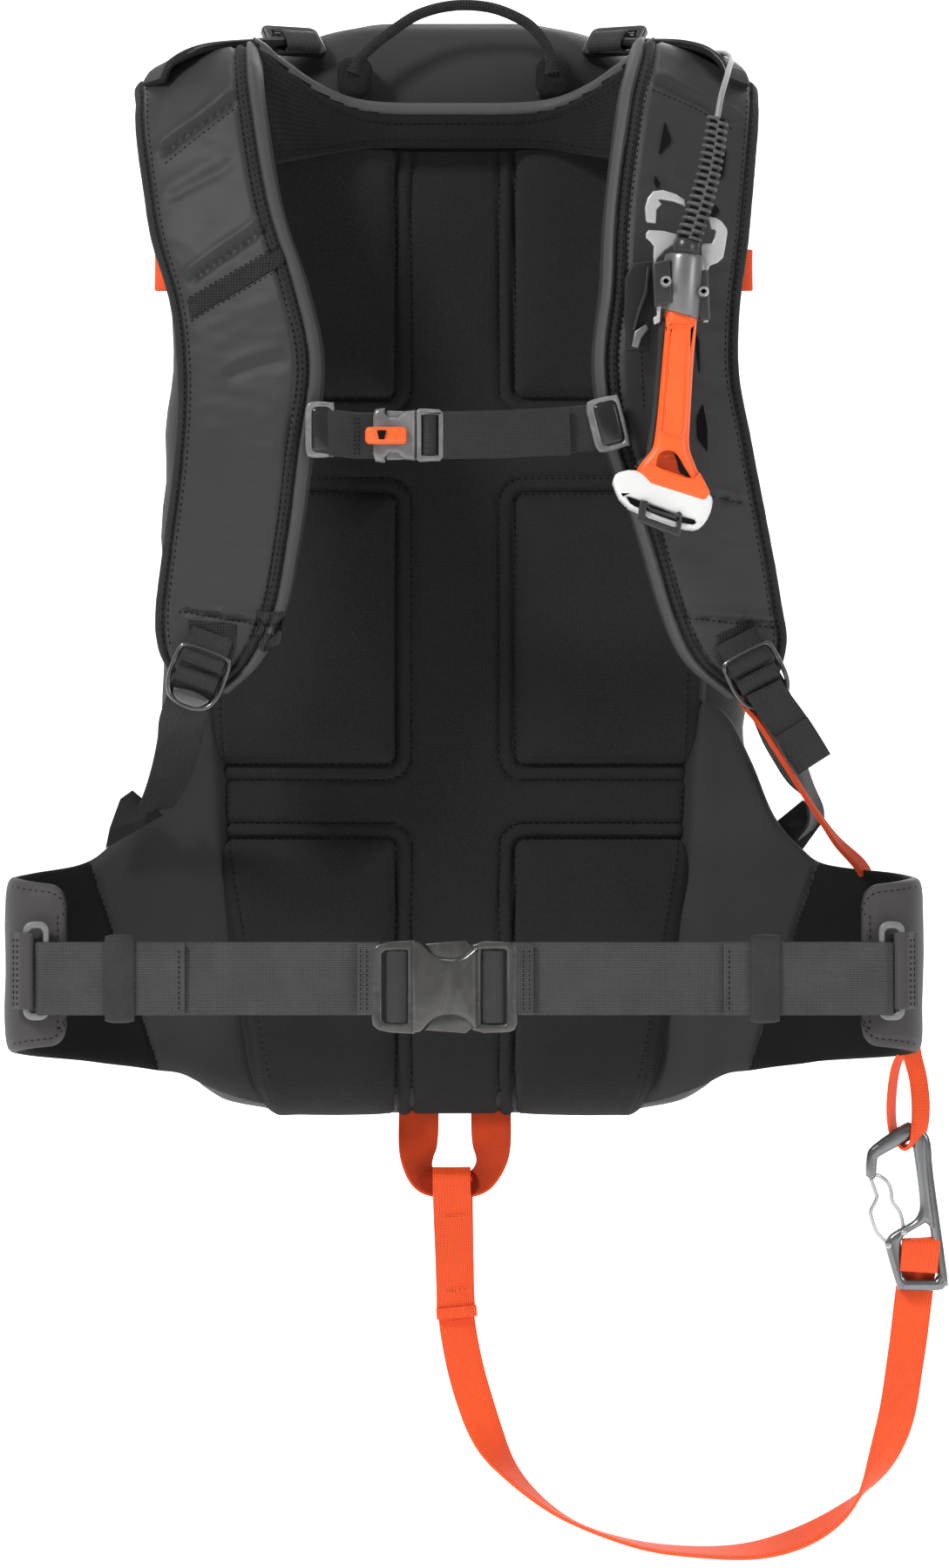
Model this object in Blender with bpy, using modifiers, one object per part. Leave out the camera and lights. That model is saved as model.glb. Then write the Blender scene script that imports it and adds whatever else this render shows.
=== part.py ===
"""Avalanche airbag backpack: pack body, harness, hip belt, leg strap, mechanical trigger and blower.

Metres, +Z up. The wearer's side faces -Y. Left (-X) and right (+X) are as seen looking at that
side. The origin is at the underside of the haul loop's crest, which is what the pack hangs from.
"""
import math

import bmesh
import bpy
from mathutils import Vector

# ------------------------------------------------------------------ driving dimensions
PACK_TOP = -0.003
PACK_BASE = -0.596
PACK_HALF_WIDTH = 0.156
PACK_DEPTH = 0.205
SHELL_WALL = 0.003
BACK_PANEL_T = 0.0117
GAP = 0.0003
STRAP_T = 0.012
WEB_WIDE = 0.038
WEB_LEG = 0.020
WEB_T = 0.0016
LOCK_BAR = 0.016
BELT_Y = -0.108
BELT_Z = -0.518
STERNUM_Y = -0.1315
STERNUM_Z = -0.237
FRONT_Y = 0.2055
POCKET_T = 0.024
CARABINER = (0.241, -0.040, -0.5967)
CARABINER_T = 0.008
BLOWER = (-0.055, 0.050, -0.230)
BLOWER_R = 0.055
BLOWER_D = 0.052

for old in list(bpy.data.objects):
    bpy.data.objects.remove(old, do_unlink=True)

pack = bpy.data.collections.new("avalanche_airbag_backpack")
cutters = bpy.data.collections.new("cutters")
for folder in (pack, cutters):
    bpy.context.scene.collection.children.link(folder)


def material(name, colour, roughness, metallic=0.0):
    mat = bpy.data.materials.new(name)
    mat.use_nodes = True
    shader = mat.node_tree.nodes["Principled BSDF"]
    shader.inputs["Base Color"].default_value = (*colour, 1.0)
    shader.inputs["Roughness"].default_value = roughness
    shader.inputs["Metallic"].default_value = metallic
    return mat


MAT = {
    "shell_fabric": material("shell_fabric", (0.045, 0.045, 0.050), 0.8),
    "spacer_knit": material("spacer_knit", (0.014, 0.014, 0.017), 0.95),
    "strap_satin": material("strap_satin", (0.050, 0.050, 0.055), 0.6),
    "black_webbing": material("black_webbing", (0.060, 0.060, 0.062), 0.8),
    "orange_webbing": material("orange_webbing", (0.85, 0.13, 0.04), 0.75),
    "orange_plastic": material("orange_plastic", (0.90, 0.12, 0.03), 0.4),
    "white_plastic": material("white_plastic", (0.82, 0.82, 0.82), 0.4),
    "black_gloss": material("black_gloss", (0.02, 0.02, 0.022), 0.25),
    "buckle_grey": material("buckle_grey", (0.09, 0.085, 0.08), 0.35),
    "rubber": material("rubber", (0.04, 0.04, 0.042), 0.85),
    "bright_metal": material("bright_metal", (0.62, 0.62, 0.63), 0.3, 1.0),
    "anthracite_metal": material("anthracite_metal", (0.16, 0.16, 0.17), 0.35, 1.0),
    "frame_plastic": material("frame_plastic", (0.55, 0.56, 0.55), 0.5),
}


def add(name, mesh_or_curve, slot, at=(0, 0, 0), turn=(0, 0, 0), folder=pack, smooth=None):
    obj = bpy.data.objects.new(name, mesh_or_curve)
    obj.location, obj.rotation_euler = at, turn
    obj.data.materials.append(MAT[slot])
    folder.objects.link(obj)
    if folder is cutters:
        obj.hide_render = True
        obj.display_type = "WIRE"
    if smooth is not None:
        obj.data.shade_smooth()
        obj.data.set_sharp_from_angle(angle=math.radians(smooth))
    return obj


def finish_mesh(bm, name):
    bmesh.ops.recalc_face_normals(bm, faces=bm.faces)
    mesh = bpy.data.meshes.new(name)
    bm.to_mesh(mesh)
    bm.free()
    return mesh


def bevelled(obj, width, segments=2):
    mod = obj.modifiers.new("Bevel", "BEVEL")
    mod.width, mod.segments, mod.limit_method = width, segments, "ANGLE"
    return obj


def block(name, lo, hi, slot, bevel=0.0, origin=None, folder=pack, segments=2, turn=(0, 0, 0)):
    """A box between two corners; its origin is its centre or the given point."""
    centre = [(a + b) / 2 for a, b in zip(lo, hi)]
    origin = origin or centre
    bm = bmesh.new()
    bmesh.ops.create_cube(bm, size=1.0)
    bmesh.ops.scale(bm, vec=[b - a for a, b in zip(lo, hi)], verts=bm.verts)
    bmesh.ops.translate(bm, vec=[c - o for c, o in zip(centre, origin)], verts=bm.verts)
    obj = add(name, finish_mesh(bm, name), slot, origin, turn, folder)
    return bevelled(obj, bevel, segments) if bevel else obj


def rod(name, centre, radius, length, axis, slot, sides=20, bevel=0.0, folder=pack, top=None):
    """A cylinder (or cone frustum) with its origin at its centre."""
    bm = bmesh.new()
    bmesh.ops.create_cone(bm, cap_ends=True, segments=sides, radius1=radius,
                          radius2=radius if top is None else top, depth=length)
    turn = Vector((0, 0, 1)).rotation_difference(Vector(axis)).to_euler()
    obj = add(name, finish_mesh(bm, name), slot, centre, turn, folder)
    return bevelled(obj, bevel, 1) if bevel else obj


def rounded(cx, cy, w, h, r, n=4):
    """Corner-rounded rectangle, anticlockwise, n + 1 points a corner."""
    points = []
    for k, (sx, sy) in enumerate(((1, 1), (-1, 1), (-1, -1), (1, -1))):
        ox, oy = cx + sx * (w / 2 - r), cy + sy * (h / 2 - r)
        for i in range(n + 1):
            a = math.radians(90 * k + 90 * i / n)
            points.append((ox + r * math.cos(a), oy + r * math.sin(a)))
    return points


def plate(name, outline, holes, thick, slot, at, turn=(math.pi / 2, 0, 0), bevel=0.0, folder=pack):
    """A flat outline with windows, standing in XZ unless turned, extruded about its middle plane."""
    curve = bpy.data.curves.new(name, "CURVE")
    curve.dimensions, curve.fill_mode, curve.extrude = "2D", "BOTH", thick / 2
    for loop in [outline, *holes]:
        spline = curve.splines.new("POLY")
        spline.points.add(len(loop) - 1)
        for point, (x, y) in zip(spline.points, loop):
            point.co = (x, y, 0.0, 1.0)
        spline.use_cyclic_u = True
    obj = add(name, curve, slot, at, turn, folder)
    return bevelled(obj, bevel, 1) if bevel else obj


def loft(name, rings, slot, origin=(0, 0, 0), folder=pack, smooth=40):
    """A closed form through rings of points, capped at both ends."""
    bm = bmesh.new()
    loops = []
    for ring in rings:
        verts = [bm.verts.new(Vector(p) - Vector(origin)) for p in ring]
        loops.append([bm.edges.new((a, b)) for a, b in zip(verts, verts[1:] + verts[:1])])
    for low, high in zip(loops, loops[1:]):
        bmesh.ops.bridge_loops(bm, edges=low + high)
    bmesh.ops.holes_fill(bm, edges=loops[0] + loops[-1], sides=0)
    return add(name, finish_mesh(bm, name), slot, origin, folder=folder, smooth=smooth)


def strip(name, stations, thick, slot, origin=(0, 0, 0), across=1, offset=0.0, bevel=0.0):
    """A fabric or webbing run through pairs of edge points, given its thickness by Solidify."""
    bm = bmesh.new()
    rows = [[Vector(a).lerp(Vector(b), k / across) for k in range(across + 1)]
            for a, b in stations]
    grid = [[bm.verts.new(p - Vector(origin)) for p in row] for row in rows]
    for low, high in zip(grid, grid[1:]):
        for k in range(across):
            bm.faces.new((low[k], low[k + 1], high[k + 1], high[k]))
    obj = add(name, finish_mesh(bm, name), slot, origin)
    mod = obj.modifiers.new("Solidify", "SOLIDIFY")
    mod.thickness, mod.offset, mod.use_even_offset = thick, offset, True
    return bevelled(obj, bevel, 1) if bevel else obj


def webbing(name, path, width, slot, thick=WEB_T, origin=(0, 0, 0)):
    """Flat webbing along path, a list of (point, direction across it)."""
    stations = []
    for point, side in path:
        half = Vector(side).normalized() * width / 2
        stations.append((Vector(point) - half, Vector(point) + half))
    return strip(name, stations, thick, slot, origin)


def smooth_path(points, steps):
    """Catmull-Rom points through the given ones."""
    points = [Vector(p) for p in points]
    padded = [2 * points[0] - points[1], *points, 2 * points[-1] - points[-2]]
    out = []
    for a, b, c, d in zip(padded, padded[1:], padded[2:], padded[3:]):
        for k in range(steps):
            t = k / steps
            out.append(0.5 * (2 * b + (c - a) * t + (2 * a - 5 * b + 4 * c - d) * t * t
                              + (3 * b - a - 3 * c + d) * t ** 3))
    return [*out, points[-1]]


def tube(name, points, radius, slot, origin=(0, 0, 0), resolution=2):
    curve = bpy.data.curves.new(name, "CURVE")
    curve.dimensions, curve.bevel_depth, curve.bevel_resolution = "3D", radius, resolution
    curve.use_fill_caps = True
    spline = curve.splines.new("POLY")
    spline.points.add(len(points) - 1)
    for point, at in zip(spline.points, points):
        point.co = (*(Vector(at) - Vector(origin)), 1.0)
    return add(name, curve, slot, origin)


def cut(obj, cutter):
    mod = obj.modifiers.new("Boolean", "BOOLEAN")
    mod.operation, mod.solver, mod.object = "DIFFERENCE", "EXACT", cutter


# ------------------------------------------------------------------ pack body
SECTIONS = (  # height, half width, back, front, corner radius
    (PACK_BASE, 0.100, 0.032, 0.150, 0.045), (-0.588, 0.128, 0.018, 0.176, 0.050),
    (-0.565, 0.146, 0.012, 0.192, 0.050), (-0.500, 0.153, 0.012, 0.202, 0.050),
    (-0.400, PACK_HALF_WIDTH, 0.012, PACK_DEPTH, 0.050), (-0.250, 0.155, 0.012, 0.202, 0.050),
    (-0.150, 0.150, 0.012, 0.190, 0.050), (-0.090, 0.140, 0.012, 0.178, 0.050),
    (-0.050, 0.122, 0.014, 0.160, 0.050), (-0.025, 0.100, 0.020, 0.142, 0.045),
    (-0.010, 0.072, 0.030, 0.118, 0.038), (PACK_TOP, 0.040, 0.045, 0.095, 0.020),
)


def body_rings(inset):
    rings = []
    for z, half, back, front, radius in SECTIONS:
        z = min(max(z, PACK_BASE + inset), PACK_TOP - inset)
        outline = rounded(0.0, (back + front) / 2, 2 * (half - inset), front - back - 2 * inset,
                          radius - inset)
        rings.append([(x, y, z) for x, y in outline])
    return rings


shell = loft("pack_shell", body_rings(0.0), "shell_fabric")
hollow = loft("main_hollow", body_rings(SHELL_WALL)[1:-1], "shell_fabric", folder=cutters)
back_way = block("back_way", (-0.100, -0.010, -0.560), (0.100, 0.060, -0.090), "shell_fabric",
                 folder=cutters)
cut(shell, hollow)
cut(shell, back_way)

panel = plate("back_panel",
              [(-0.098, -0.592), (0.098, -0.592), (0.112, -0.560), (0.129, -0.440),
               (0.129, -0.300), (0.118, -0.110), (0.110, -0.075), (-0.110, -0.075),
               (-0.118, -0.110), (-0.129, -0.300), (-0.129, -0.440), (-0.112, -0.560)],
              [], BACK_PANEL_T, "spacer_knit", (0, BACK_PANEL_T / 2, 0))
block("frame_sheet", (-0.0995, 0.0122, -0.5595), (0.0995, 0.0137, -0.0905), "frame_plastic")
block("frame_stay", (-0.006, 0.0141, -0.540), (0.006, 0.0171, -0.110), "bright_metal", 0.001, segments=1)

POCKET = (  # height, half width, back, front
    (-0.566, 0.098, 0.1930, 0.2000), (-0.558, 0.108, 0.1970, 0.2180), (-0.500, 0.115, 0.2030, 0.2280),
    (-0.400, 0.117, FRONT_Y, FRONT_Y + POCKET_T), (-0.250, 0.115, 0.2050, FRONT_Y + POCKET_T),
    (-0.170, 0.108, 0.1950, 0.2200), (-0.120, 0.098, 0.1850, 0.1990), (-0.108, 0.085, 0.1825, 0.1880),
)
loft("front_pocket", [[(x, y, z) for x, y in rounded(0, (back + front) / 2, 2 * half, front - back,
                                                     0.49 * (front - back), 3)]
                      for z, half, back, front in POCKET], "shell_fabric")
block("front_zip_slider", (0.072, FRONT_Y + POCKET_T + GAP, -0.282),
      (0.084, FRONT_Y + POCKET_T + 0.006, -0.250), "black_gloss", 0.0015,
      origin=(0.078, FRONT_Y + POCKET_T + 0.003, -0.266), segments=1)

# ------------------------------------------------------------------ blower and airbag inside
block("airbag_folded", (-0.085, 0.035, -0.140), (0.085, 0.135, -0.055), "orange_webbing", 0.018)
bx, by, bz = BLOWER
housing = rod("blower_housing", (bx, by + BLOWER_D / 2, bz), BLOWER_R, BLOWER_D, (0, 1, 0),
              "black_gloss", 32)
cut(housing, rod("blower_chamber", (bx, by + 0.026, bz), BLOWER_R - 0.003, 0.044, (0, 1, 0),
                 "black_gloss", 32, folder=cutters))
cut(housing, rod("blower_inlet", (bx, by + 0.050, bz), 0.030, 0.020, (0, 1, 0), "black_gloss", 24,
                 folder=cutters))
cut(housing, block("blower_outlet", (bx - 0.016, by + 0.012, bz + 0.040),
                   (bx + 0.016, by + 0.040, bz + 0.070), "black_gloss", folder=cutters))
rod("blower_motor", (bx, by + 0.0115, bz), 0.015, 0.014, (0, 1, 0), "bright_metal", 20, 0.001)
blades = []
for k in range(11):
    for r, a in ((0.016, 0.0), (0.044, 9.0), (0.044, 13.0), (0.017, 9.0)):
        angle = math.radians(360 / 11 * k + a)
        blades.append((r * math.cos(angle), r * math.sin(angle)))
plate("blower_impeller", blades, [], 0.020, "white_plastic", (bx, by + 0.031, bz))
block("capacitor_pack", (0.015, 0.035, -0.290), (0.110, 0.080, -0.180), "black_gloss", 0.006)
rod("power_button", (0.0625, 0.0860, -0.235), 0.007, 0.008, (0, 1, 0), "orange_plastic", 20, 0.001)

# ------------------------------------------------------------------ yoke, shoulder straps, haul loop
strip("yoke", [((x, y, top), (x, y - 0.004, low)) for x, y, top, low in (
    (-0.092, -0.034, -0.024, -0.086), (-0.070, -0.016, -0.036, -0.080),
    (-0.045, -0.009, -0.046, -0.071), (0.000, -0.008, -0.0485, -0.069),
    (0.045, -0.009, -0.046, -0.071), (0.070, -0.016, -0.036, -0.080),
    (0.092, -0.034, -0.024, -0.086))], 0.007, "spacer_knit")

LEFT_STRAP = (  # outer edge, inner edge
    ((-0.140, -0.008, -0.066), (-0.101, -0.008, -0.054)),
    ((-0.168, -0.020, -0.046), (-0.104, -0.032, -0.026)),
    ((-0.169, -0.044, -0.058), (-0.103, -0.060, -0.036)),
    ((-0.167, -0.062, -0.081), (-0.100, -0.078, -0.060)),
    ((-0.159, -0.085, -0.129), (-0.090, -0.101, -0.115)),
    ((-0.148, -0.095, -0.167), (-0.076, -0.115, -0.159)),
    ((-0.144, -0.100, -0.203), (-0.068, -0.120, -0.200)),
    ((-0.1455, -0.100, -0.244), (-0.0736, -0.120, -0.245)),
    ((-0.1515, -0.092, -0.289), (-0.080, -0.110, -0.290)),
    ((-0.1565, -0.083, -0.325), (-0.0875, -0.097, -0.326)),
    ((-0.155, -0.078, -0.346), (-0.101, -0.088, -0.353)),
    ((-0.147, -0.075, -0.362), (-0.118, -0.080, -0.369)),
)
RIGHT_STRAP = (
    ((0.140, -0.008, -0.066), (0.101, -0.008, -0.054)),
    ((0.160, -0.020, -0.046), (0.104, -0.032, -0.026)),
    ((0.162, -0.044, -0.058), (0.103, -0.060, -0.036)),
    ((0.160, -0.062, -0.081), (0.102, -0.078, -0.060)),
    ((0.155, -0.085, -0.129), (0.0885, -0.101, -0.117)),
    ((0.150, -0.095, -0.167), (0.077, -0.115, -0.159)),
    ((0.149, -0.100, -0.203), (0.073, -0.120, -0.200)),
    ((0.155, -0.100, -0.235), (0.079, -0.120, -0.241)),
    ((0.164, -0.092, -0.280), (0.094, -0.110, -0.281)),
    ((0.172, -0.083, -0.321), (0.108, -0.097, -0.326)),
    ((0.175, -0.078, -0.343), (0.121, -0.088, -0.353)),
    ((0.169, -0.075, -0.366), (0.144, -0.080, -0.372)),
)
strip("shoulder_strap_left", LEFT_STRAP, STRAP_T, "strap_satin", across=2)
strip("shoulder_strap_right", RIGHT_STRAP, STRAP_T, "strap_satin", across=2)

tube("haul_loop", smooth_path([(-0.0555, -0.003, -0.040), (-0.054, -0.002, -0.020),
                               (-0.040, -0.0005, -0.004), (0.000, 0.000, 0.0032),
                               (0.040, -0.0005, -0.004), (0.053, -0.002, -0.020),
                               (0.0535, -0.003, -0.040)], 3), 0.003, "spacer_knit")

for side, sign in (("left", -1), ("right", 1)):
    lifter = smooth_path([(sign * 0.132, -0.052, -0.030), (sign * 0.124, -0.034, -0.012),
                          (sign * 0.110, -0.008, -0.0075), (sign * 0.099, 0.010, -0.0105)], 2)
    webbing("load_lifter_" + side, [(p, (sign * 0.85, 0.5, -0.10)) for p in lifter], WEB_LEG,
            "black_webbing")
    sewn_bar = (sign * 0.0902, 0.0246, -0.0049)
    plate("lifter_buckle_" + side, rounded(0, -0.0095, 0.033, 0.024, 0.004, 3),
          [rounded(0, y, 0.023, 0.0034, 0.001, 1) for y in (-0.004, -0.015)],
          0.004, "black_gloss", sewn_bar, (math.radians(65), 0, sign * math.radians(-25)))

# ------------------------------------------------------------------ strap adjusters
for side, x, tilt, foot in (("left", -0.1347, -20, (-0.168, -0.0185, -0.436)),
                            ("right", 0.1600, 28, (0.166, -0.0185, -0.436))):
    at = Vector((x, -0.0965, -0.3635))
    lean = math.radians(tilt)
    bar = at + LOCK_BAR * Vector((-math.sin(lean), 0, math.cos(lean)))
    plate("ladder_lock_" + side, rounded(0, 0.0025 - LOCK_BAR, 0.031, 0.033, 0.006, 3),
          [rounded(0, y - LOCK_BAR, 0.023, 0.0036, 0.001, 1) for y in (0.0105, 0.0015, -0.0075)],
          0.005, "black_gloss", bar, (math.pi / 2, -lean, 0))
    low = at + Vector((0.009 if tilt > 0 else -0.009, 0.0045, -0.0215))
    side_dir = (1.0, 0.0, 0.12 if tilt > 0 else 0.2)
    run = smooth_path([low, low.lerp(Vector(foot), 0.35) + Vector((0, 0.002, 0)),
                       low.lerp(Vector(foot), 0.75), foot], 2)
    webbing("lower_webbing_" + side, [(p, side_dir) for p in run], WEB_LEG, "black_webbing")

# ------------------------------------------------------------------ hip belt
FIN = (  # plan x (outward), y, top z, bottom z
    (0.133, 0.000, -0.372, -0.578), (0.147, -0.0025, -0.380, -0.573), (0.160, -0.006, -0.405, -0.571),
    (0.172, -0.0095, -0.434, -0.569), (0.187, -0.014, -0.452, -0.567), (0.200, -0.020, -0.460, -0.565),
    (0.222, -0.038, -0.464, -0.562), (0.2315, -0.060, -0.466, -0.559),
    (0.2295, -0.080, -0.4665, -0.557), (0.220, -0.0925, -0.468, -0.555), (0.202, -0.0975, -0.475, -0.548),
)
KEEPER_X = {"left": -0.1735, "right": 0.162}
for side, sign, shift in (("left", -1, 0.0), ("right", 1, 0.011)):
    strip("hip_fin_" + side,
          [((sign * (x + (shift if k > 5 else 0.0)), y, top), (sign * (x + (shift if k > 5 else 0.0)), y, low))
           for k, (x, y, top, low) in enumerate(FIN)], 0.009, "shell_fabric")
    ring_x = sign * (0.2205 + shift)
    plate("belt_ring_" + side, rounded(-sign * 0.007, 0, 0.018, 0.050, 0.004, 3),
          [rounded(-sign * 0.007, 0, 0.010, 0.042, 0.002, 2)], 0.004, "bright_metal",
          (ring_x, -0.1055, -0.514))
    plate("belt_keeper_" + side, rounded(0, 0, 0.0085, 0.0435, 0.002, 2),
          [rounded(0, 0, 0.0055, 0.0405, 0.0005, 1)], 0.014, "black_gloss",
          (KEEPER_X[side], BELT_Y, BELT_Z), (math.pi / 2, 0, math.pi / 2))

BUCKLE_END = {"left": -0.0425, "right": 0.0323}
for side, sign in (("left", -1), ("right", 1)):
    end = sign * (0.2040 + (0.011 if sign > 0 else 0.0))
    block("belt_webbing_" + side, (min(end, BUCKLE_END[side]), BELT_Y - 0.0018, BELT_Z - 0.0193),
          (max(end, BUCKLE_END[side]), BELT_Y + 0.0018, BELT_Z + 0.0193), "black_webbing")

female = block("belt_buckle_female", (-0.0422, BELT_Y - 0.0065, BELT_Z - 0.024),
               (0.0032, BELT_Y + 0.0065, BELT_Z + 0.024), "buckle_grey", 0.003, segments=1)
cut(female, block("prong_way", (-0.0300, BELT_Y - 0.0035, BELT_Z - 0.0210),
                  (0.0100, BELT_Y + 0.0035, BELT_Z + 0.0210), "buckle_grey", folder=cutters))
cut(female, block("bar_way", (-0.0385, BELT_Y - 0.010, BELT_Z - 0.0197),
                  (-0.0330, BELT_Y + 0.010, BELT_Z + 0.0197), "buckle_grey", folder=cutters))
plate("belt_buckle_male",
      [(0.0040, -0.0235), (0.0320, -0.0230), (0.0320, 0.0230), (0.0040, 0.0235), (0.0038, 0.0195),
       (-0.0060, 0.0190), (-0.0200, 0.0199), (-0.0250, 0.0150), (-0.0198, 0.0120),
       (-0.0050, 0.0125), (-0.0040, 0.0040), (-0.0230, 0.0030), (-0.0232, -0.0031),
       (-0.0041, -0.0041), (-0.0052, -0.0126), (-0.0199, -0.0121), (-0.0251, -0.0151),
       (-0.0201, -0.0198), (-0.0061, -0.0191), (0.0039, -0.0196)],
      [rounded(0.0275, 0, 0.0040, 0.0396, 0.0012, 2)], 0.006, "buckle_grey", (0, BELT_Y, BELT_Z))

# ------------------------------------------------------------------ sternum strap
sy, sz = STERNUM_Y, STERNUM_Z
plate("sternum_slider_left", rounded(0, 0, 0.0155, 0.029, 0.003, 3),
      [rounded(0.0035, 0, 0.0035, 0.0225, 0.0005, 1)], 0.005, "black_gloss", (-0.0687, sy, sz + 0.003))
plate("sternum_slider_right", rounded(0, 0, 0.0180, 0.028, 0.003, 3),
      [rounded(-0.0045, 0, 0.0035, 0.0225, 0.0005, 1)], 0.005, "black_gloss", (0.0785, sy, sz + 0.005))
block("sternum_webbing_left", (-0.0605, sy - 0.001, sz - 0.0115), (-0.0425, sy + 0.001, sz + 0.0125),
      "black_webbing")
block("sternum_webbing_right", (-0.0005, sy - 0.0015, sz - 0.0125), (0.0690, sy + 0.0015, sz + 0.0125),
      "black_webbing")
female = block("sternum_buckle_female", (-0.0420, sy - 0.005, sz - 0.015),
               (-0.0180, sy + 0.005, sz + 0.015), "buckle_grey", 0.0015, segments=1)
cut(female, block("sternum_prong_way", (-0.0365, sy - 0.0026, sz - 0.0130),
                  (-0.0100, sy + 0.0026, sz + 0.0130), "buckle_grey", folder=cutters))
plate("sternum_buckle_male",
      [(-0.0175, -0.0145), (-0.0045, -0.0145), (-0.0045, 0.0145), (-0.0175, 0.0145),
       (-0.0175, 0.0120), (-0.0330, 0.0120), (-0.0345, 0.0085), (-0.0230, 0.0070),
       (-0.0230, -0.0070), (-0.0345, -0.0085), (-0.0330, -0.0120), (-0.0175, -0.0120)],
      [rounded(-0.0110, 0, 0.0060, 0.0240, 0.001, 1)], 0.0045, "buckle_grey", (0, sy, sz))
block("whistle", (-0.0445, sy - 0.0105, sz - 0.0065), (-0.0240, sy - 0.0053, sz + 0.0045),
      "orange_plastic", 0.0015, segments=1)

# ------------------------------------------------------------------ trigger on the right strap
TY = -0.1430
rod("trigger_clamp", (0.1168, TY, -0.1615), 0.0135, 0.034, (-0.07, 0, 1), "bright_metal", 8, 0.0015)
for name, x, z in (("upper", 0.1089, -0.1597), ("lower", 0.1282, -0.1646)):
    rod("trigger_rivet_" + name, (x, TY - 0.0152, z), 0.0032, 0.003, (0, 1, 0), "bright_metal", 14)
plate("trigger_bracket", [(0.0925, -0.1500), (0.1035, -0.1480), (0.1035, -0.1900), (0.0960, -0.1910),
                          (0.0925, -0.1850)], [], 0.004, "black_gloss", (0, -0.1320, 0))
plate("trigger_hook_plate",
      [(0.0977, -0.1130), (0.1196, -0.1113), (0.1185, -0.1200), (0.1120, -0.1215),
       (0.1150, -0.1330), (0.1150, -0.1440), (0.0990, -0.1440), (0.0990, -0.1330),
       (0.1050, -0.1290), (0.1000, -0.1240)], [], 0.0025, "bright_metal", (0, -0.1325, 0))
boot_top, boot_low = Vector((0.1353, -0.1400, -0.0760)), Vector((0.1206, -0.1430, -0.1372))
boot_axis = boot_top - boot_low
rod("cable_boot", (boot_top + boot_low) / 2, 0.0055, boot_axis.length, boot_axis, "rubber", 16,
    top=0.0042)
plate("trigger_collar", rounded(0, 0, 0.0135, 0.0044, 0.001, 2), [], 0.012, "black_gloss",
      (0.1200, TY, -0.14115))
CABLE = smooth_path([(0.1358, -0.1398, -0.0745), (0.1385, -0.1260, -0.0610),
                     (0.1430, -0.0980, -0.0430), (0.1450, -0.0620, -0.0270),
                     (0.1380, -0.0250, -0.0200), (0.1270, 0.0120, -0.0300),
                     (0.1240, 0.0400, -0.0420)], 4)
tube("trigger_cable", CABLE, 0.0015, "rubber")
grip = []
for z, w, d, x in ((-0.1815, 0.0170, 0.014, 0.1156), (-0.2000, 0.0190, 0.017, 0.1146),
                   (-0.2300, 0.0205, 0.017, 0.1130), (-0.2480, 0.0210, 0.017, 0.1122),
                   (-0.2550, 0.0300, 0.018, 0.1120), (-0.2690, 0.0370, 0.018, 0.1116)):
    grip.append([(px, py, z) for px, py in rounded(x, TY, w, d, 0.005, 2)])
loft("handle_grip", grip, "orange_plastic", origin=(0.1130, TY, -0.2250))
plate("handle_rim", rounded(0, 0, 0.0500, 0.0070, 0.003, 3), [], 0.0215, "white_plastic",
      (0.1100, TY, -0.2775), (math.pi / 2, math.radians(12), 0))
tube("handle_bail", [(0.0990, TY - 0.0035, -0.2805), (0.0985, TY - 0.0035, -0.2860),
                     (0.1020, TY - 0.0035, -0.2895), (0.1120, TY - 0.0035, -0.2910),
                     (0.1160, TY - 0.0035, -0.2880), (0.1165, TY - 0.0035, -0.2855)],
     0.0014, "buckle_grey", origin=(0.1077, TY - 0.0035, -0.2820))

# ------------------------------------------------------------------ orange harness webbing and tabs
webbing("harness_webbing_right",
        [(p, (0.8, 0.0, 0.6)) for p in smooth_path(
            [(0.1600, -0.0560, -0.3800), (0.1745, -0.0440, -0.3990), (0.1885, -0.0300, -0.4240),
             (0.2000, -0.0140, -0.4430), (0.2130, -0.0060, -0.4620)], 3)], 0.012, "orange_webbing")
for side, x, z in (("left", -0.1600, -0.1420), ("right", 0.1590, -0.1430)):
    sign = math.copysign(1, x)
    block("side_tab_" + side, (min(x, x - sign * 0.0065), 0.060, z - 0.010),
          (max(x, x - sign * 0.0065), 0.082, z + 0.010), "orange_webbing")

loop_x = CARABINER[0] - 0.0035
webbing("gear_loop", [((loop_x, y, z), (1, 0, 0)) for y, z in (
    (-0.0490, -0.5675), (-0.0490, -0.6000), (-0.0470, -0.6070), (-0.0400, -0.6098),
    (-0.0330, -0.6070), (-0.0310, -0.6000), (-0.0310, -0.5675))], 0.011, "orange_webbing")

# ------------------------------------------------------------------ leg strap and carabiner
cx, cy, cz = CARABINER
plate("carabiner_body",
      [(-0.0218, -0.0290), (-0.0215, -0.0140), (-0.0175, -0.0050), (-0.0090, -0.0005),
       (0.0030, 0.0000), (0.0140, -0.0040), (0.0205, -0.0120), (0.0220, -0.0240),
       (0.0212, -0.0450), (0.0215, -0.0860), (0.0190, -0.0895), (-0.0060, -0.0895),
       (-0.0090, -0.0870), (-0.0090, -0.0650), (-0.0035, -0.0575), (0.0100, -0.0560),
       (0.0130, -0.0500), (0.0135, -0.0260), (0.0100, -0.0140), (0.0010, -0.0080),
       (-0.0080, -0.0090), (-0.0130, -0.0160), (-0.0135, -0.0280), (-0.0165, -0.0300)],
      [rounded(0.0070, -0.0725, 0.0190, 0.0220, 0.003, 2)], CARABINER_T, "anthracite_metal", CARABINER)
pivot = Vector((cx - 0.0105, cy, cz - 0.0590))
plate("carabiner_gate", [(-0.0018, -0.0018), (0.0030, -0.0003), (-0.0045, 0.0272), (-0.0090, 0.0265)],
      [], 0.005, "bright_metal", pivot)

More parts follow.
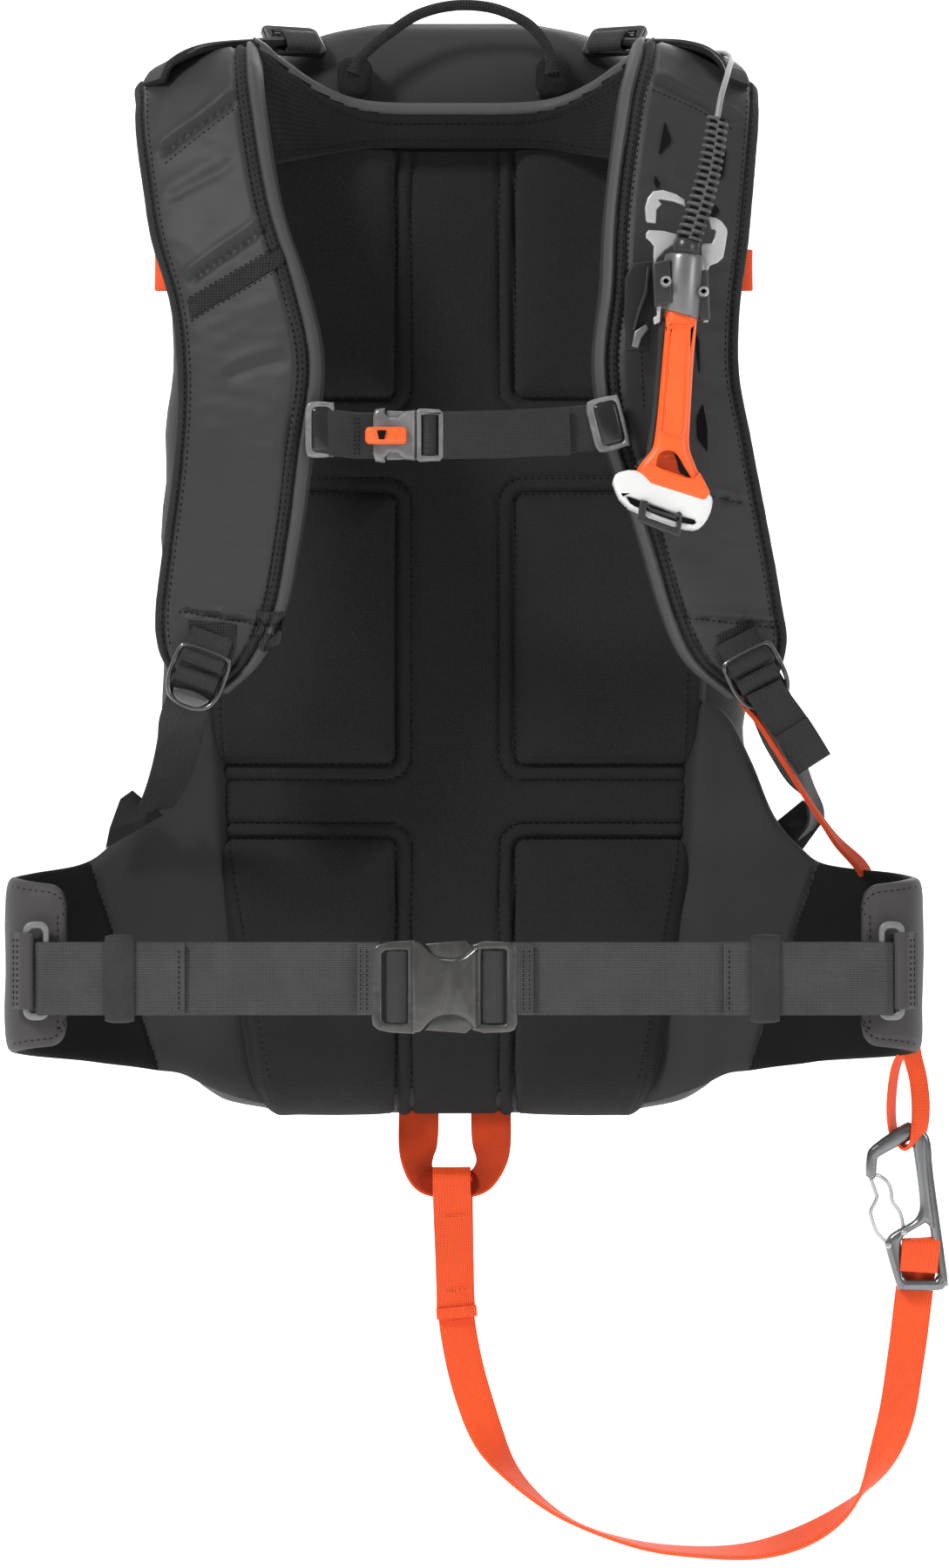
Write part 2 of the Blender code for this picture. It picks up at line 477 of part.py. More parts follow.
webbing("leg_strap_anchor", [
    ((-0.0196, 0.030, -0.6010), (0.97, 0.00, 0.25)), ((-0.0150, 0.030, -0.6130), (0.80, 0.45, 0.30)),
    ((-0.0070, 0.030, -0.6245), (0.35, 0.90, 0.20)), ((0.0000, 0.030, -0.6280), (0.00, 1.00, 0.00)),
    ((0.0070, 0.030, -0.6245), (-0.35, 0.90, 0.20)), ((0.0150, 0.030, -0.6130), (-0.80, 0.45, 0.30)),
    ((0.0196, 0.030, -0.6010), (-0.97, 0.00, 0.25))], 0.018, "orange_webbing")
ROUTE = [(0.0000, 0.0300, -0.6310), (0.0005, 0.0295, -0.6700), (0.0010, 0.0280, -0.7060),
         (0.0095, 0.0240, -0.7470), (0.0255, 0.0190, -0.7840), (0.0560, 0.0110, -0.8120),
         (0.0940, 0.0010, -0.8260), (0.1310, -0.0080, -0.8300), (0.1660, -0.0170, -0.8270),
         (0.1990, -0.0260, -0.8140), (0.2230, -0.0340, -0.7920), (0.2380, -0.0410, -0.7590),
         (0.2450, -0.0470, -0.7230), (0.2480, -0.0480, -0.6900)]
route = smooth_path(ROUTE, 2)
ribbon = []
for k, point in enumerate(route):
    along = (route[min(k + 1, len(route) - 1)] - route[max(k - 1, 0)]).normalized()
    ribbon.append((point, along.cross(Vector((0, 1, 0)))))
ribbon += [((0.2480, y, z), (1, 0, 0)) for y, z in (
    (-0.0460, -0.6785), (-0.0400, -0.6762), (-0.0340, -0.6785), (-0.0330, -0.6900),
    (-0.0335, -0.7000))]
webbing("leg_strap", ribbon, WEB_LEG - 0.003, "orange_webbing")
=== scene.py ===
import math
import random

import bmesh
import bpy
import numpy as np
from mathutils import Matrix, Vector, noise
from mathutils.bvhtree import BVHTree


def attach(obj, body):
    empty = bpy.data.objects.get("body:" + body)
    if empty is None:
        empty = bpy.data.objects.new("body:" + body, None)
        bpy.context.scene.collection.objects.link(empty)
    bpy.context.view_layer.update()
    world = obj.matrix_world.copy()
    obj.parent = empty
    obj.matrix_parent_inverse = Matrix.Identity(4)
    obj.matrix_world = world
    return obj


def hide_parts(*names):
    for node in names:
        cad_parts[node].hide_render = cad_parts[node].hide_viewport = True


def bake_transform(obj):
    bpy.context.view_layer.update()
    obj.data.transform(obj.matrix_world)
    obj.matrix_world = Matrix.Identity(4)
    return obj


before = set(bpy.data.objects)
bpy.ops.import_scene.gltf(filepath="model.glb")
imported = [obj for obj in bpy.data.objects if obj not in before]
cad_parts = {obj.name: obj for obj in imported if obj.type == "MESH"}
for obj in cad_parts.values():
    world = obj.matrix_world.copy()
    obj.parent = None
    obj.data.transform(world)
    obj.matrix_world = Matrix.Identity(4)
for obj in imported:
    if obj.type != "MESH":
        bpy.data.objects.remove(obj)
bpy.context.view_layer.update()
scene = bpy.context.scene

# ---------------------------------------- camera, light, floor
SENSOR, DISTANCE, SHOWN_HEIGHT = 36.0, 3.0, 0.846
camera = bpy.data.objects.new("camera", bpy.data.cameras.new("camera"))
camera.location = (0.011, -DISTANCE, -0.4168)
camera.rotation_euler = (math.radians(90), 0, 0)
camera.data.sensor_width = SENSOR
camera.data.lens = SENSOR * DISTANCE / SHOWN_HEIGHT
scene.collection.objects.link(camera)
scene.camera = camera
scene.view_settings.view_transform = "Standard"

world = bpy.data.worlds.new("studio")
world.use_nodes = True
world.node_tree.nodes["Background"].inputs["Color"].default_value = (1.0, 1.0, 1.0, 1.0)
world.node_tree.nodes["Background"].inputs["Strength"].default_value = 0.3
scene.world = world


def area_light(name, at, aim, size, power):
    data = bpy.data.lights.new(name, "AREA")
    data.shape, data.size, data.energy = "DISK", size, power
    lamp = bpy.data.objects.new(name, data)
    lamp.location = at
    lamp.rotation_euler = (Vector(aim) - Vector(at)).to_track_quat("-Z", "Y").to_euler()
    scene.collection.objects.link(lamp)


area_light("key", (-1.5, -1.7, 1.4), (0, 0, -0.3), 0.6, 56)
area_light("fill", (1.9, -1.6, 0.2), (0, 0, -0.35), 0.9, 13)
area_light("top", (0.1, 0.1, 1.9), (0, 0, -0.3), 1.0, 13)
area_light("back", (0.6, 2.4, 1.0), (0, 0, -0.3), 1.2, 20)


# ---------------------------------------- materials
def shader(name):
    mat = bpy.data.materials.new(name)
    mat.use_nodes = True
    tree = mat.node_tree
    return mat, tree, tree.nodes["Principled BSDF"]


def node(tree, kind, **values):
    made = tree.nodes.new(kind)
    for key, value in values.items():
        if isinstance(key, str) and hasattr(made, key):
            setattr(made, key, value)
        else:
            made.inputs[key.replace("_", " ")].default_value = value
    return made


def math_node(tree, operation, a, b=None):
    made = tree.nodes.new("ShaderNodeMath")
    made.operation = operation
    for k, value in enumerate((a, b)):
        if value is None:
            continue
        if isinstance(value, (int, float)):
            made.inputs[k].default_value = value
        else:
            tree.links.new(value, made.inputs[k])
    return made.outputs[0]


def mix_colour(tree, factor, low, high):
    ramp = tree.nodes.new("ShaderNodeValToRGB")
    ramp.color_ramp.elements[0].color = (*low, 1.0)
    ramp.color_ramp.elements[1].color = (*high, 1.0)
    tree.links.new(factor, ramp.inputs[0])
    return ramp


def woven(name, colour, warp, weft, depth=0.4, rough=0.75, sheen=0.03, vary=0.18, mottle=25.0, kind="plain",
        spec=0.18):
    """Cloth from two crossing thread sets on UVs in metres: threads a metre across and along."""
    mat, tree, bsdf = shader(name)
    uv = tree.nodes.new("ShaderNodeUVMap").outputs[0]
    split = tree.nodes.new("ShaderNodeSeparateXYZ")
    tree.links.new(uv, split.inputs[0])
    u, v = split.outputs[0], split.outputs[1]
    across = math_node(tree, "MULTIPLY", u, warp * 2 * math.pi)
    along = math_node(tree, "MULTIPLY", v, weft * 2 * math.pi)
    if kind == "twill":
        across = math_node(tree, "ADD", across, math_node(tree, "MULTIPLY", along, 0.5))
    a = math_node(tree, "ABSOLUTE", math_node(tree, "SINE", across))
    b = math_node(tree, "ABSOLUTE", math_node(tree, "SINE", along))
    if kind == "rib":
        height = math_node(tree, "ADD", math_node(tree, "MULTIPLY", a, 0.8),
            math_node(tree, "MULTIPLY", b, 0.28))
    elif kind == "knit":
        height = math_node(tree, "MULTIPLY", a, b)
    else:
        height = math_node(tree, "MAXIMUM", math_node(tree, "MULTIPLY", a, 0.9), b)
    coords = tree.nodes.new("ShaderNodeTexCoord").outputs["Object"]
    blot = node(tree, "ShaderNodeTexNoise", Scale=mottle, Detail=3.0)
    fuzz = node(tree, "ShaderNodeTexNoise", Scale=900.0, Detail=2.0)
    tree.links.new(coords, blot.inputs["Vector"])
    tree.links.new(coords, fuzz.inputs["Vector"])
    # The colour follows the thread relief, darker in the gaps between threads: painted shade; the noise
    # adds random mottle.
    thread_gap_shade_and_mottle = math_node(tree, "ADD", math_node(tree, "MULTIPLY", height, 0.55),
        math_node(tree, "ADD", math_node(tree, "MULTIPLY", blot.outputs[0], 0.35),
        math_node(tree, "MULTIPLY", fuzz.outputs[0], 0.25)))
    low = tuple(c * (1 - vary * 1.6) for c in colour)
    high = tuple(min(1.0, c * (1 + vary)) for c in colour)
    ramp = mix_colour(tree, thread_gap_shade_and_mottle, low, high)
    ramp.color_ramp.elements[0].position, ramp.color_ramp.elements[1].position = 0.25, 0.85
    tree.links.new(ramp.outputs[0], bsdf.inputs["Base Color"])
    bump = node(tree, "ShaderNodeBump", Strength=depth, Distance=0.0004)
    relief = math_node(tree, "ADD", height, math_node(tree, "MULTIPLY", fuzz.outputs[0], 0.5))
    tree.links.new(relief, bump.inputs["Height"])
    tree.links.new(bump.outputs[0], bsdf.inputs["Normal"])
    bsdf.inputs["Roughness"].default_value = rough
    bsdf.inputs["Sheen Weight"].default_value = sheen
    bsdf.inputs["Sheen Roughness"].default_value = 0.45
    bsdf.inputs["Specular IOR Level"].default_value = spec
    return mat


def moulded(name, colour, rough=0.35, grain=600.0, depth=0.05, vary=0.12, coat=0.0, marble=0.0, metal=0.0,
        swirl=60.0, spec=0.5):
    """Moulded plastic, rubber or metal: fine grain, slight colour and gloss variation."""
    mat, tree, bsdf = shader(name)
    coords = tree.nodes.new("ShaderNodeTexCoord").outputs["Object"]
    cloud = node(tree, "ShaderNodeTexNoise", Scale=swirl, Detail=5.0, Distortion=1.5 if marble else 0.3)
    fine = node(tree, "ShaderNodeTexNoise", Scale=grain, Detail=3.0)
    for tex in (cloud, fine):
        tree.links.new(coords, tex.inputs["Vector"])
    low = tuple(c * (1 - vary - marble) for c in colour)
    high = tuple(min(1.0, c * (1 + vary + marble)) for c in colour)
    ramp = mix_colour(tree, cloud.outputs[0], low, high)
    ramp.color_ramp.elements[0].position, ramp.color_ramp.elements[1].position = 0.35, 0.68
    tree.links.new(ramp.outputs[0], bsdf.inputs["Base Color"])
    gloss = math_node(tree, "ADD", math_node(tree, "MULTIPLY", cloud.outputs[0], 0.18), rough - 0.09)
    tree.links.new(gloss, bsdf.inputs["Roughness"])
    bump = node(tree, "ShaderNodeBump", Strength=depth, Distance=0.0003)
    tree.links.new(fine.outputs[0], bump.inputs["Height"])
    tree.links.new(bump.outputs[0], bsdf.inputs["Normal"])
    bsdf.inputs["Metallic"].default_value = metal
    bsdf.inputs["Coat Weight"].default_value = coat
    bsdf.inputs["Specular IOR Level"].default_value = spec
    return mat


M = {"shell": woven("shell_stretch", (0.0225, 0.0225, 0.0235), 700, 700, 0.25, 0.6, 0.03, 0.1, 14,
    spec=0.22), "knit": woven("back_knit", (0.0185, 0.0185, 0.019), 420, 420, 0.7, 0.85, 0.05, 0.18, 18,
    "knit", spec=0.14), "band": woven("strap_band", (0.022, 0.022, 0.023), 520, 520, 0.5, 0.8, 0.05, 0.16,
    22, "knit", spec=0.15), "satin": woven("strap_satin", (0.028, 0.028, 0.029), 900, 900, 0.18, 0.5, 0.02,
    0.1, 16, spec=0.24), "piping": woven("edge_piping", (0.058, 0.058, 0.059), 800, 800, 0.2, 0.55, 0.02,
    0.08, 40, spec=0.25), "yoke": woven("yoke_knit", (0.012, 0.012, 0.0125), 420, 420, 0.7, 0.85, 0.04,
    0.16, 20, "knit", spec=0.12), "lock": moulded("lock_enamel", (0.11, 0.11, 0.114), 0.2, 500, 0.03, 0.1,
    0.3, metal=0.7), "loopband": woven("loop_band", (0.026, 0.026, 0.027), 330, 330, 1.0, 0.9, 0.05, 0.4,
    300, "knit", spec=0.15), "wing": woven("wing_stretch", (0.0055, 0.0055, 0.006), 600, 600, 0.35, 0.75,
    0.02, 0.14, 20, spec=0.12), "patch": woven("belt_patch", (0.055, 0.051, 0.052), 800, 800, 0.2, 0.6,
    0.02, 0.1, 30, spec=0.2), "web": woven("black_webbing", (0.044, 0.044, 0.044), 430, 310, 0.9, 0.6, 0.03,
    0.5, 60, "rib", spec=0.25), "web_dark": woven("dark_webbing", (0.0135, 0.0135, 0.014), 430, 310, 0.9,
    0.55, 0.03, 0.5, 60, "rib", spec=0.3), "web_grey": woven("keeper_elastic", (0.05, 0.05, 0.051), 900,
    900, 0.6, 0.7, 0.03, 0.3, 60, "knit", spec=0.2), "orange": woven("orange_webbing", (0.95, 0.084, 0.017),
    430, 310, 0.7, 0.55, 0.02, 0.22, 40, "rib", spec=0.25),
    # A darker copy of the orange webbing: painted shade, for orange that lies in shadow or in a hollow.
    "orange_shade": woven("orange_webbing_painted_shade", (0.5, 0.052, 0.014), 1000, 560, 0.7, 0.7, 0.02, 0.22, 40, "rib",
    spec=0.1), "thread": moulded("thread", (0.006, 0.006, 0.006), 0.8, 900, 0.3, spec=0.1),
    "thread_light": moulded("thread_grey", (0.016, 0.016, 0.017), 0.7, 900, 0.3, spec=0.2),
    "thread_orange": moulded("thread_orange", (0.95, 0.16, 0.05), 0.6, 900, 0.3, spec=0.3),
    # Near black, put where there is only shade: painted shadow in slots, windows, rib grooves and hollows.
    "void": moulded("painted_shadow_black", (0.005, 0.005, 0.0055), 0.85, 500, 0.1, spec=0.1),
    "black": moulded("black_gloss", (0.011, 0.011, 0.012), 0.27, 500, 0.08, coat=0.1),
    "black_matt": moulded("black_matt", (0.012, 0.012, 0.013), 0.55, 700, 0.15, spec=0.3),
    "buckle": moulded("buckle_grey", (0.047, 0.0458, 0.0432), 0.26, 500, 0.03, 0.1, 0.25, 0.12, swirl=60),
    "buckle_light": moulded("buckle_light", (0.15, 0.15, 0.15), 0.26, 500, 0.03, 0.1, 0.2, 0.1, swirl=60),
    "orange_plastic": moulded("orange_plastic", (0.93, 0.125, 0.026), 0.38, 700, 0.05, 0.04, spec=0.35),
    "white_plastic": moulded("white_plastic", (0.7, 0.7, 0.69), 0.38, 700, 0.04, 0.03, spec=0.4),
    "rubber": moulded("boot_rubber", (0.075, 0.075, 0.076), 0.55, 600, 0.25, spec=0.3),
    "silver": moulded("cast_alloy", (0.46, 0.46, 0.46), 0.42, 900, 0.25, 0.06, metal=0.35, swirl=35),
    "steel": moulded("satin_steel", (0.5, 0.5, 0.5), 0.3, 900, 0.12, 0.08, metal=0.8, swirl=50),
    "clamp": moulded("clamp_metal", (0.04, 0.04, 0.041), 0.32, 900, 0.15, 0.1, metal=0.3, swirl=40),
    "anthracite": moulded("anthracite_metal", (0.21, 0.215, 0.22), 0.2, 900, 0.03, 0.08, metal=0.8,
    swirl=40), "clamp_bright": moulded("clamp_steel", (0.19, 0.19, 0.19), 0.36, 900, 0.08, 0.1, metal=0.55,
    swirl=50), "ring": moulded("ring_grey", (0.17, 0.17, 0.17), 0.38, 900, 0.1, 0.08, metal=0.2, swirl=40),
    "cable": moulded("cable_sheath", (0.22, 0.22, 0.22), 0.42, 900, 0.1, 0.06, metal=0.1),
    "sheet": moulded("frame_sheet", (0.5, 0.51, 0.5), 0.5, 300, 0.1),
    "floor": moulded("pale_floor", (0.92, 0.92, 0.92), 0.9, 20, 0.0, 0.01, spec=0.05), }
M["wall"] = moulded("pale_wall", (0.92, 0.92, 0.92), 0.9, 20, 0.0, 0.01, spec=0.05)
for key, strength in (("floor", 0.45), ("wall", 0.95)):
    glow = M[key].node_tree.nodes["Principled BSDF"]
    glow.inputs["Emission Color"].default_value = (1.0, 1.0, 1.0, 1.0)
    glow.inputs["Emission Strength"].default_value = strength


# ---------------------------------------- mesh helpers
def place(name, mesh, body, slot, stands_for):
    """The object of a finished mesh, riding on its body and standing for its CAD nodes."""
    obj = bpy.data.objects.new(name, mesh)
    scene.collection.objects.link(obj)
    if body:
        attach(obj, body)
    if stands_for:
        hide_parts(*stands_for)
    return obj


def repair(mesh, weld=False, fill=False, turn=None):
    """Outward faces, with doubled points welded, holes filled and the mesh moved where asked for."""
    bm = bmesh.new()
    bm.from_mesh(mesh)
    if weld:
        bmesh.ops.remove_doubles(bm, verts=bm.verts, dist=1e-6)
    if fill:
        bmesh.ops.holes_fill(bm, edges=[e for e in bm.edges if e.is_boundary], sides=0)
    bmesh.ops.recalc_face_normals(bm, faces=bm.faces)
    if turn:
        bmesh.ops.transform(bm, matrix=turn, verts=bm.verts)
    bm.to_mesh(mesh)
    bm.free()


def build(name, verts, faces, slots, body="pack", uvs=None, picks=None, stands_for=(), sharp=50, pad=None):
    """A mesh piece in the shared frame, riding on a body; slots are keys of M, picks one a face."""
    mesh = bpy.data.meshes.new(name)
    mesh.from_pydata([tuple(map(float, v)) for v in verts], [], [tuple(map(int, f)) for f in faces])
    slots = [slots] if isinstance(slots, str) else list(slots)
    for key in slots:
        mesh.materials.append(M[key])
    if picks is not None:
        mesh.polygons.foreach_set("material_index", np.asarray(picks, np.int32))
    if uvs is not None:
        layer = mesh.uv_layers.new(name="UVMap")
        index = np.empty(len(mesh.loops), np.int32)
        mesh.loops.foreach_get("vertex_index", index)
        layer.data.foreach_set("uv", np.asarray(uvs, np.float32)[index].ravel())
    mesh.shade_smooth()
    if sharp:
        mesh.set_sharp_from_angle(angle=math.radians(sharp))
    mesh.update()
    obj = place(name, mesh, body, slots[0], stands_for)
    return obj


def spline(points, steps):
    """Catmull-Rom through rows of numbers."""
    p = np.asarray(points, float)
    p = np.vstack([2 * p[0] - p[1], p, 2 * p[-1] - p[-2]])
    out = []
    for a, b, c, d in zip(p, p[1:], p[2:], p[3:]):
        for k in range(steps):
            t = k / steps
            out.append(0.5 * (2 * b + (c - a) * t + (2 * a - 5 * b + 4 * c - d) * t * t +
                (3 * b - a - 3 * c + d) * t ** 3))
    return np.array([*out, p[-2]])


def tenths(rows):
    """Rows of metres from rows of whole tenths of a millimetre."""
    return [tuple(value / 10000 for value in row) for row in rows]


def run_of(points):
    """How far along the line each of its points is."""
    return np.concatenate([[0], np.cumsum(np.linalg.norm(np.diff(points, axis=0), axis=1))])


def between(rows, around):
    """Quads between rows + 1 equal rings of points."""
    return [(k * around + j, k * around + (j + 1) % around, (k + 1) * around + (j + 1) % around,
        (k + 1) * around + j) for k in range(rows) for j in range(around)]


def even(points, count):
    """The same line, with count points evenly spaced along it."""
    p = np.asarray(points, float)
    run = run_of(p[:, :3])
    at = np.linspace(0, run[-1], count)
    return np.column_stack([np.interp(at, run, p[:, k]) for k in range(p.shape[1])])


def length_of(points):
    return float(np.linalg.norm(np.diff(np.asarray(points, float), axis=0), axis=1).sum())


def normals_of(P, facing):
    """Unit normals of a grid of points, on the side that facing points to."""
    du = np.gradient(P, axis=1)
    dv = np.gradient(P, axis=0)
    n = np.cross(du, dv)
    n /= np.maximum(np.linalg.norm(n, axis=2, keepdims=True), 1e-12)
    flip = np.sign((n * np.asarray(facing, float)).sum(axis=2, keepdims=True))
    flip[flip == 0] = 1
    middle = np.sign(flip.sum()) or 1
    mixed = abs(flip.sum()) < flip.size * 0.999
    return n * (middle if mixed else flip)


def slab(name, P, front, back, slots, facing=(0, -1, 0), pick=None, uv=None, **kw):
    """A closed padded form on a grid of base points P: raised by front along the normal, and
    by back behind it. pick is a slot number for each front face."""
    P = np.asarray(P, float)
    nv, nu = P.shape[:2]
    N = normals_of(P, facing)
    F = P + N * np.asarray(front)[..., None]
    B = P - N * np.asarray(back)[..., None]
    if uv is None:
        across = run_of(P[nv // 2])
        along = run_of(P[:, nu // 2])
        uv = np.stack(np.meshgrid(across, along), axis=-1)
    grid = np.arange(nv * nu).reshape(nv, nu)
    back_grid = grid + nv * nu
    quad = lambda g: np.stack([g[:-1, :-1], g[:-1, 1:], g[1:, 1:], g[1:, :-1]], -1).reshape(-1, 4)
    faces = [quad(grid), quad(back_grid)[:, ::-1]]
    rim = np.concatenate([grid[0, :], grid[1:, -1], grid[-1, -2::-1], grid[-2:0:-1, 0]])
    rim_next = np.roll(rim, -1)
    faces.append(np.stack([rim_next, rim, rim + nv * nu, rim_next + nv * nu], -1))
    faces = np.concatenate(faces)
    n_front = (nv - 1) * (nu - 1)
    picks = np.zeros(len(faces), int)
    if pick is not None:
        pick = np.asarray(pick)
        picks[:n_front] = pick.ravel()
        picks[n_front:2 * n_front] = np.ravel(kw.pop("behind", 0))
    d = (np.cross(F[0, 1] - F[0, 0], F[1, 0] - F[0, 0]) @ N[0, 0])
    if d < 0:
        faces = faces[:, ::-1]
    verts = np.concatenate([F.reshape(-1, 3), B.reshape(-1, 3)])
    uvs = np.concatenate([uv.reshape(-1, 2), uv.reshape(-1, 2)])
    kw.pop("behind", None)
    return build(name, verts, faces, slots, uvs=uvs, picks=picks, **kw)


def ribbon(name, path, width, slot, sides=None, thick=0.0016, count=None, body="pack", stands_for=(),
        wave=0.0, seed=1, smooth=4):
    """Flat webbing: path is rows of x, y, z; sides the direction across it at each row."""
    path = np.asarray(path, float)
    sides = np.asarray(sides if np.ndim(sides) == 2 else [sides] * len(path), float)
    both = spline(np.hstack([path, sides]), smooth)
    count = count or max(8, int(length_of(both[:, :3]) / 0.0035))
    both = even(both, count)
    c, s = both[:, :3], both[:, 3:]
    t = np.gradient(c, axis=0)
    t /= np.linalg.norm(t, axis=1, keepdims=True)
    s = s - (s * t).sum(1, keepdims=True) * t
    s /= np.linalg.norm(s, axis=1, keepdims=True)
    n = np.cross(s, t)
    half, h = width / 2, thick / 2
    ring = [(-1, 0), (-0.985, 0.75), (-0.93, 1), (-0.5, 0.93), (0, 0.9), (0.5, 0.93), (0.93, 1),
        (0.985, 0.75), (1, 0), (0.985, -0.75), (0.93, -1), (0.5, -0.93), (0, -0.9), (-0.5, -0.93),
        (-0.93, -1), (-0.985, -0.75)]
    random.seed(seed)
    phase = random.random() * 6
    verts, uvs = [], []
    run = run_of(c)
    for k in range(count):
        lift = wave * math.sin(run[k] * 90 + phase)
        for a, b in ring:
            verts.append(c[k] + s[k] * a * half + n[k] * (b * h + lift * a))
            uvs.append((a * half, run[k]))
    m = len(ring)
    faces = between(count - 1, m)
    first, last = len(verts), len(verts) + 1
    verts += [c[0], c[-1]]
    uvs += [(0, 0), (0, run[-1])]
    caps = [((j + 1) % m, j, first) for j in range(m)]
    caps += [((count - 1) * m + j, (count - 1) * m + (j + 1) % m, last) for j in range(m)]
    return build(name, verts, faces + caps, slot, body, uvs, stands_for=stands_for, sharp=70)


def tube(name, path, radius, slot, sides=14, body="pack", stands_for=(), sharp=60):
    """A round tube through path; radius a number, or one a point."""
    c = np.asarray(path, float)
    r = np.broadcast_to(np.asarray(radius, float), (len(c),))
    t = np.gradient(c, axis=0)
    t /= np.linalg.norm(t, axis=1, keepdims=True)
    up = np.array([0.0, 1.0, 0.0]) if abs(t[0][1]) < 0.9 else np.array([1.0, 0.0, 0.0])
    verts, uvs = [], []
    run = run_of(c)
    for k in range(len(c)):
        a = up - (up @ t[k]) * t[k]
        a /= np.linalg.norm(a)
        b = np.cross(t[k], a)
        up = a
        for j in range(sides):
            w = 2 * math.pi * j / sides
            verts.append(c[k] + r[k] * (math.cos(w) * a + math.sin(w) * b))
            uvs.append((j / sides * 2 * math.pi * r[k], run[k]))
    last = len(c) - 1
    faces = between(last, sides)
    verts += [c[0], c[-1]]
    uvs += [(0, 0), (0, run[-1])]
    faces += [((j + 1) % sides, j, len(verts) - 2) for j in range(sides)]
    faces += [(last * sides + j, last * sides + (j + 1) % sides, len(verts) - 1) for j in range(sides)]
    return build(name, verts, faces, slot, body, uvs, stands_for=stands_for, sharp=sharp)


def rounded(cx, cy, w, h, r, n=5):
    """A rectangle with round corners, as points round it."""
    points = []
    for k, (sx, sy) in enumerate(((1, 1), (-1, 1), (-1, -1), (1, -1))):
        ox, oy = cx + sx * (w / 2 - r), cy + sy * (h / 2 - r)
        for i in range(n + 1):
            a = math.radians(90 * k + 90 * i / n)
            points.append((ox + r * math.cos(a), oy + r * math.sin(a)))
    return points


def plate(name, outline, holes, thick, slot, at, lean=0.0, soft=0.0008, body="pack", stands_for=(),
        turn=None, res=2):
    """A flat outline with windows and rounded edges, facing -Y, leaning about the Y axis."""
    curve = bpy.data.curves.new(name, "CURVE")
    curve.dimensions, curve.fill_mode = "2D", "BOTH"
    curve.extrude = max(thick / 2 - soft, 0.0001)
    curve.bevel_depth, curve.bevel_resolution, curve.offset = soft, res, -soft
    for loop in [outline, *holes]:
        spline_ = curve.splines.new("POLY")
        spline_.points.add(len(loop) - 1)
        for point, (x, y) in zip(spline_.points, loop):
            point.co = (x, y, 0.0, 1.0)
        spline_.use_cyclic_u = True
    temp = bpy.data.objects.new(name, curve)
    scene.collection.objects.link(temp)
    mesh = bpy.data.meshes.new_from_object(temp.evaluated_get(bpy.context.evaluated_depsgraph_get()))
    bpy.data.objects.remove(temp)
    bpy.data.curves.remove(curve)
    mesh.name = name
    turn = turn or Matrix.Rotation(-lean, 4, "Y") @ Matrix.Rotation(math.pi / 2, 4, "X")
    repair(mesh, weld=True, turn=Matrix.Translation(at) @ turn)
    mesh.materials.clear()
    mesh.materials.append(M[slot])
    mesh.shade_smooth()
    mesh.set_sharp_from_angle(angle=math.radians(38))
    return place(name, mesh, body, slot, stands_for)


def loft(name, rings, slot, body="pack", stands_for=(), sharp=45):
    """A closed form through equal rings of points."""
    m = len(rings[0])
    verts = [p for ring in rings for p in ring]
    faces = between(len(rings) - 1, m)
    faces += [tuple(range(m))[::-1], tuple(range((len(rings) - 1) * m, len(rings) * m))]
    obj = build(name, verts, faces, slot, body, stands_for=stands_for, sharp=sharp)
    repair(obj.data)
    return obj


def cushion_plate(name, outline, levels, slot, at, lean=0.0, body="pack", stands_for=(), sharp=35,
        shape=None):
    """A moulded body from one outline: levels are (inset, height); height 0 is its middle plane and
    it rises towards -Y. shape(x, z) adds height to the top."""
    pts = np.asarray(outline, float)
    nxt, prv = np.roll(pts, -1, 0), np.roll(pts, 1, 0)
    tang = nxt - prv
    norm = np.column_stack([-tang[:, 1], tang[:, 0]])
    norm /= np.maximum(np.linalg.norm(norm, axis=1, keepdims=True), 1e-9)
    rings = []
    c, s = math.cos(lean), math.sin(lean)
    for inset, high in levels:
        q = pts + norm * inset
        ring = []
        for x, z in q:
            up = high + (shape(x, z) if shape and high > 0 else 0.0)
            ring.append((at[0] + x * c - z * s, at[1] - up, at[2] + x * s + z * c))
        rings.append(ring)
    return loft(name, rings, slot, body, stands_for, sharp)


class Skin:
    """The shown surface of some pieces, to drop stitches and patches on from the wearer's side."""

    def __init__(self, *objects):
        verts, polys = [], []
        for obj in objects:
            base = len(verts)
            verts += [obj.matrix_world @ v.co for v in obj.data.vertices]
            polys += [[base + i for i in p.vertices] for p in obj.data.polygons]
        self.tree = BVHTree.FromPolygons(verts, polys)

    def at(self, x, z, lift=0.0, default=-0.1):
        hit, normal, _, _ = self.tree.ray_cast(Vector((x, -0.6, z)), Vector((0, 1, 0)), 0.9)
        if hit is None:
            return Vector((x, default - lift, z)), Vector((0, -1, 0))
        if normal.y > 0:
            normal = -normal
        return hit + normal * lift, normal


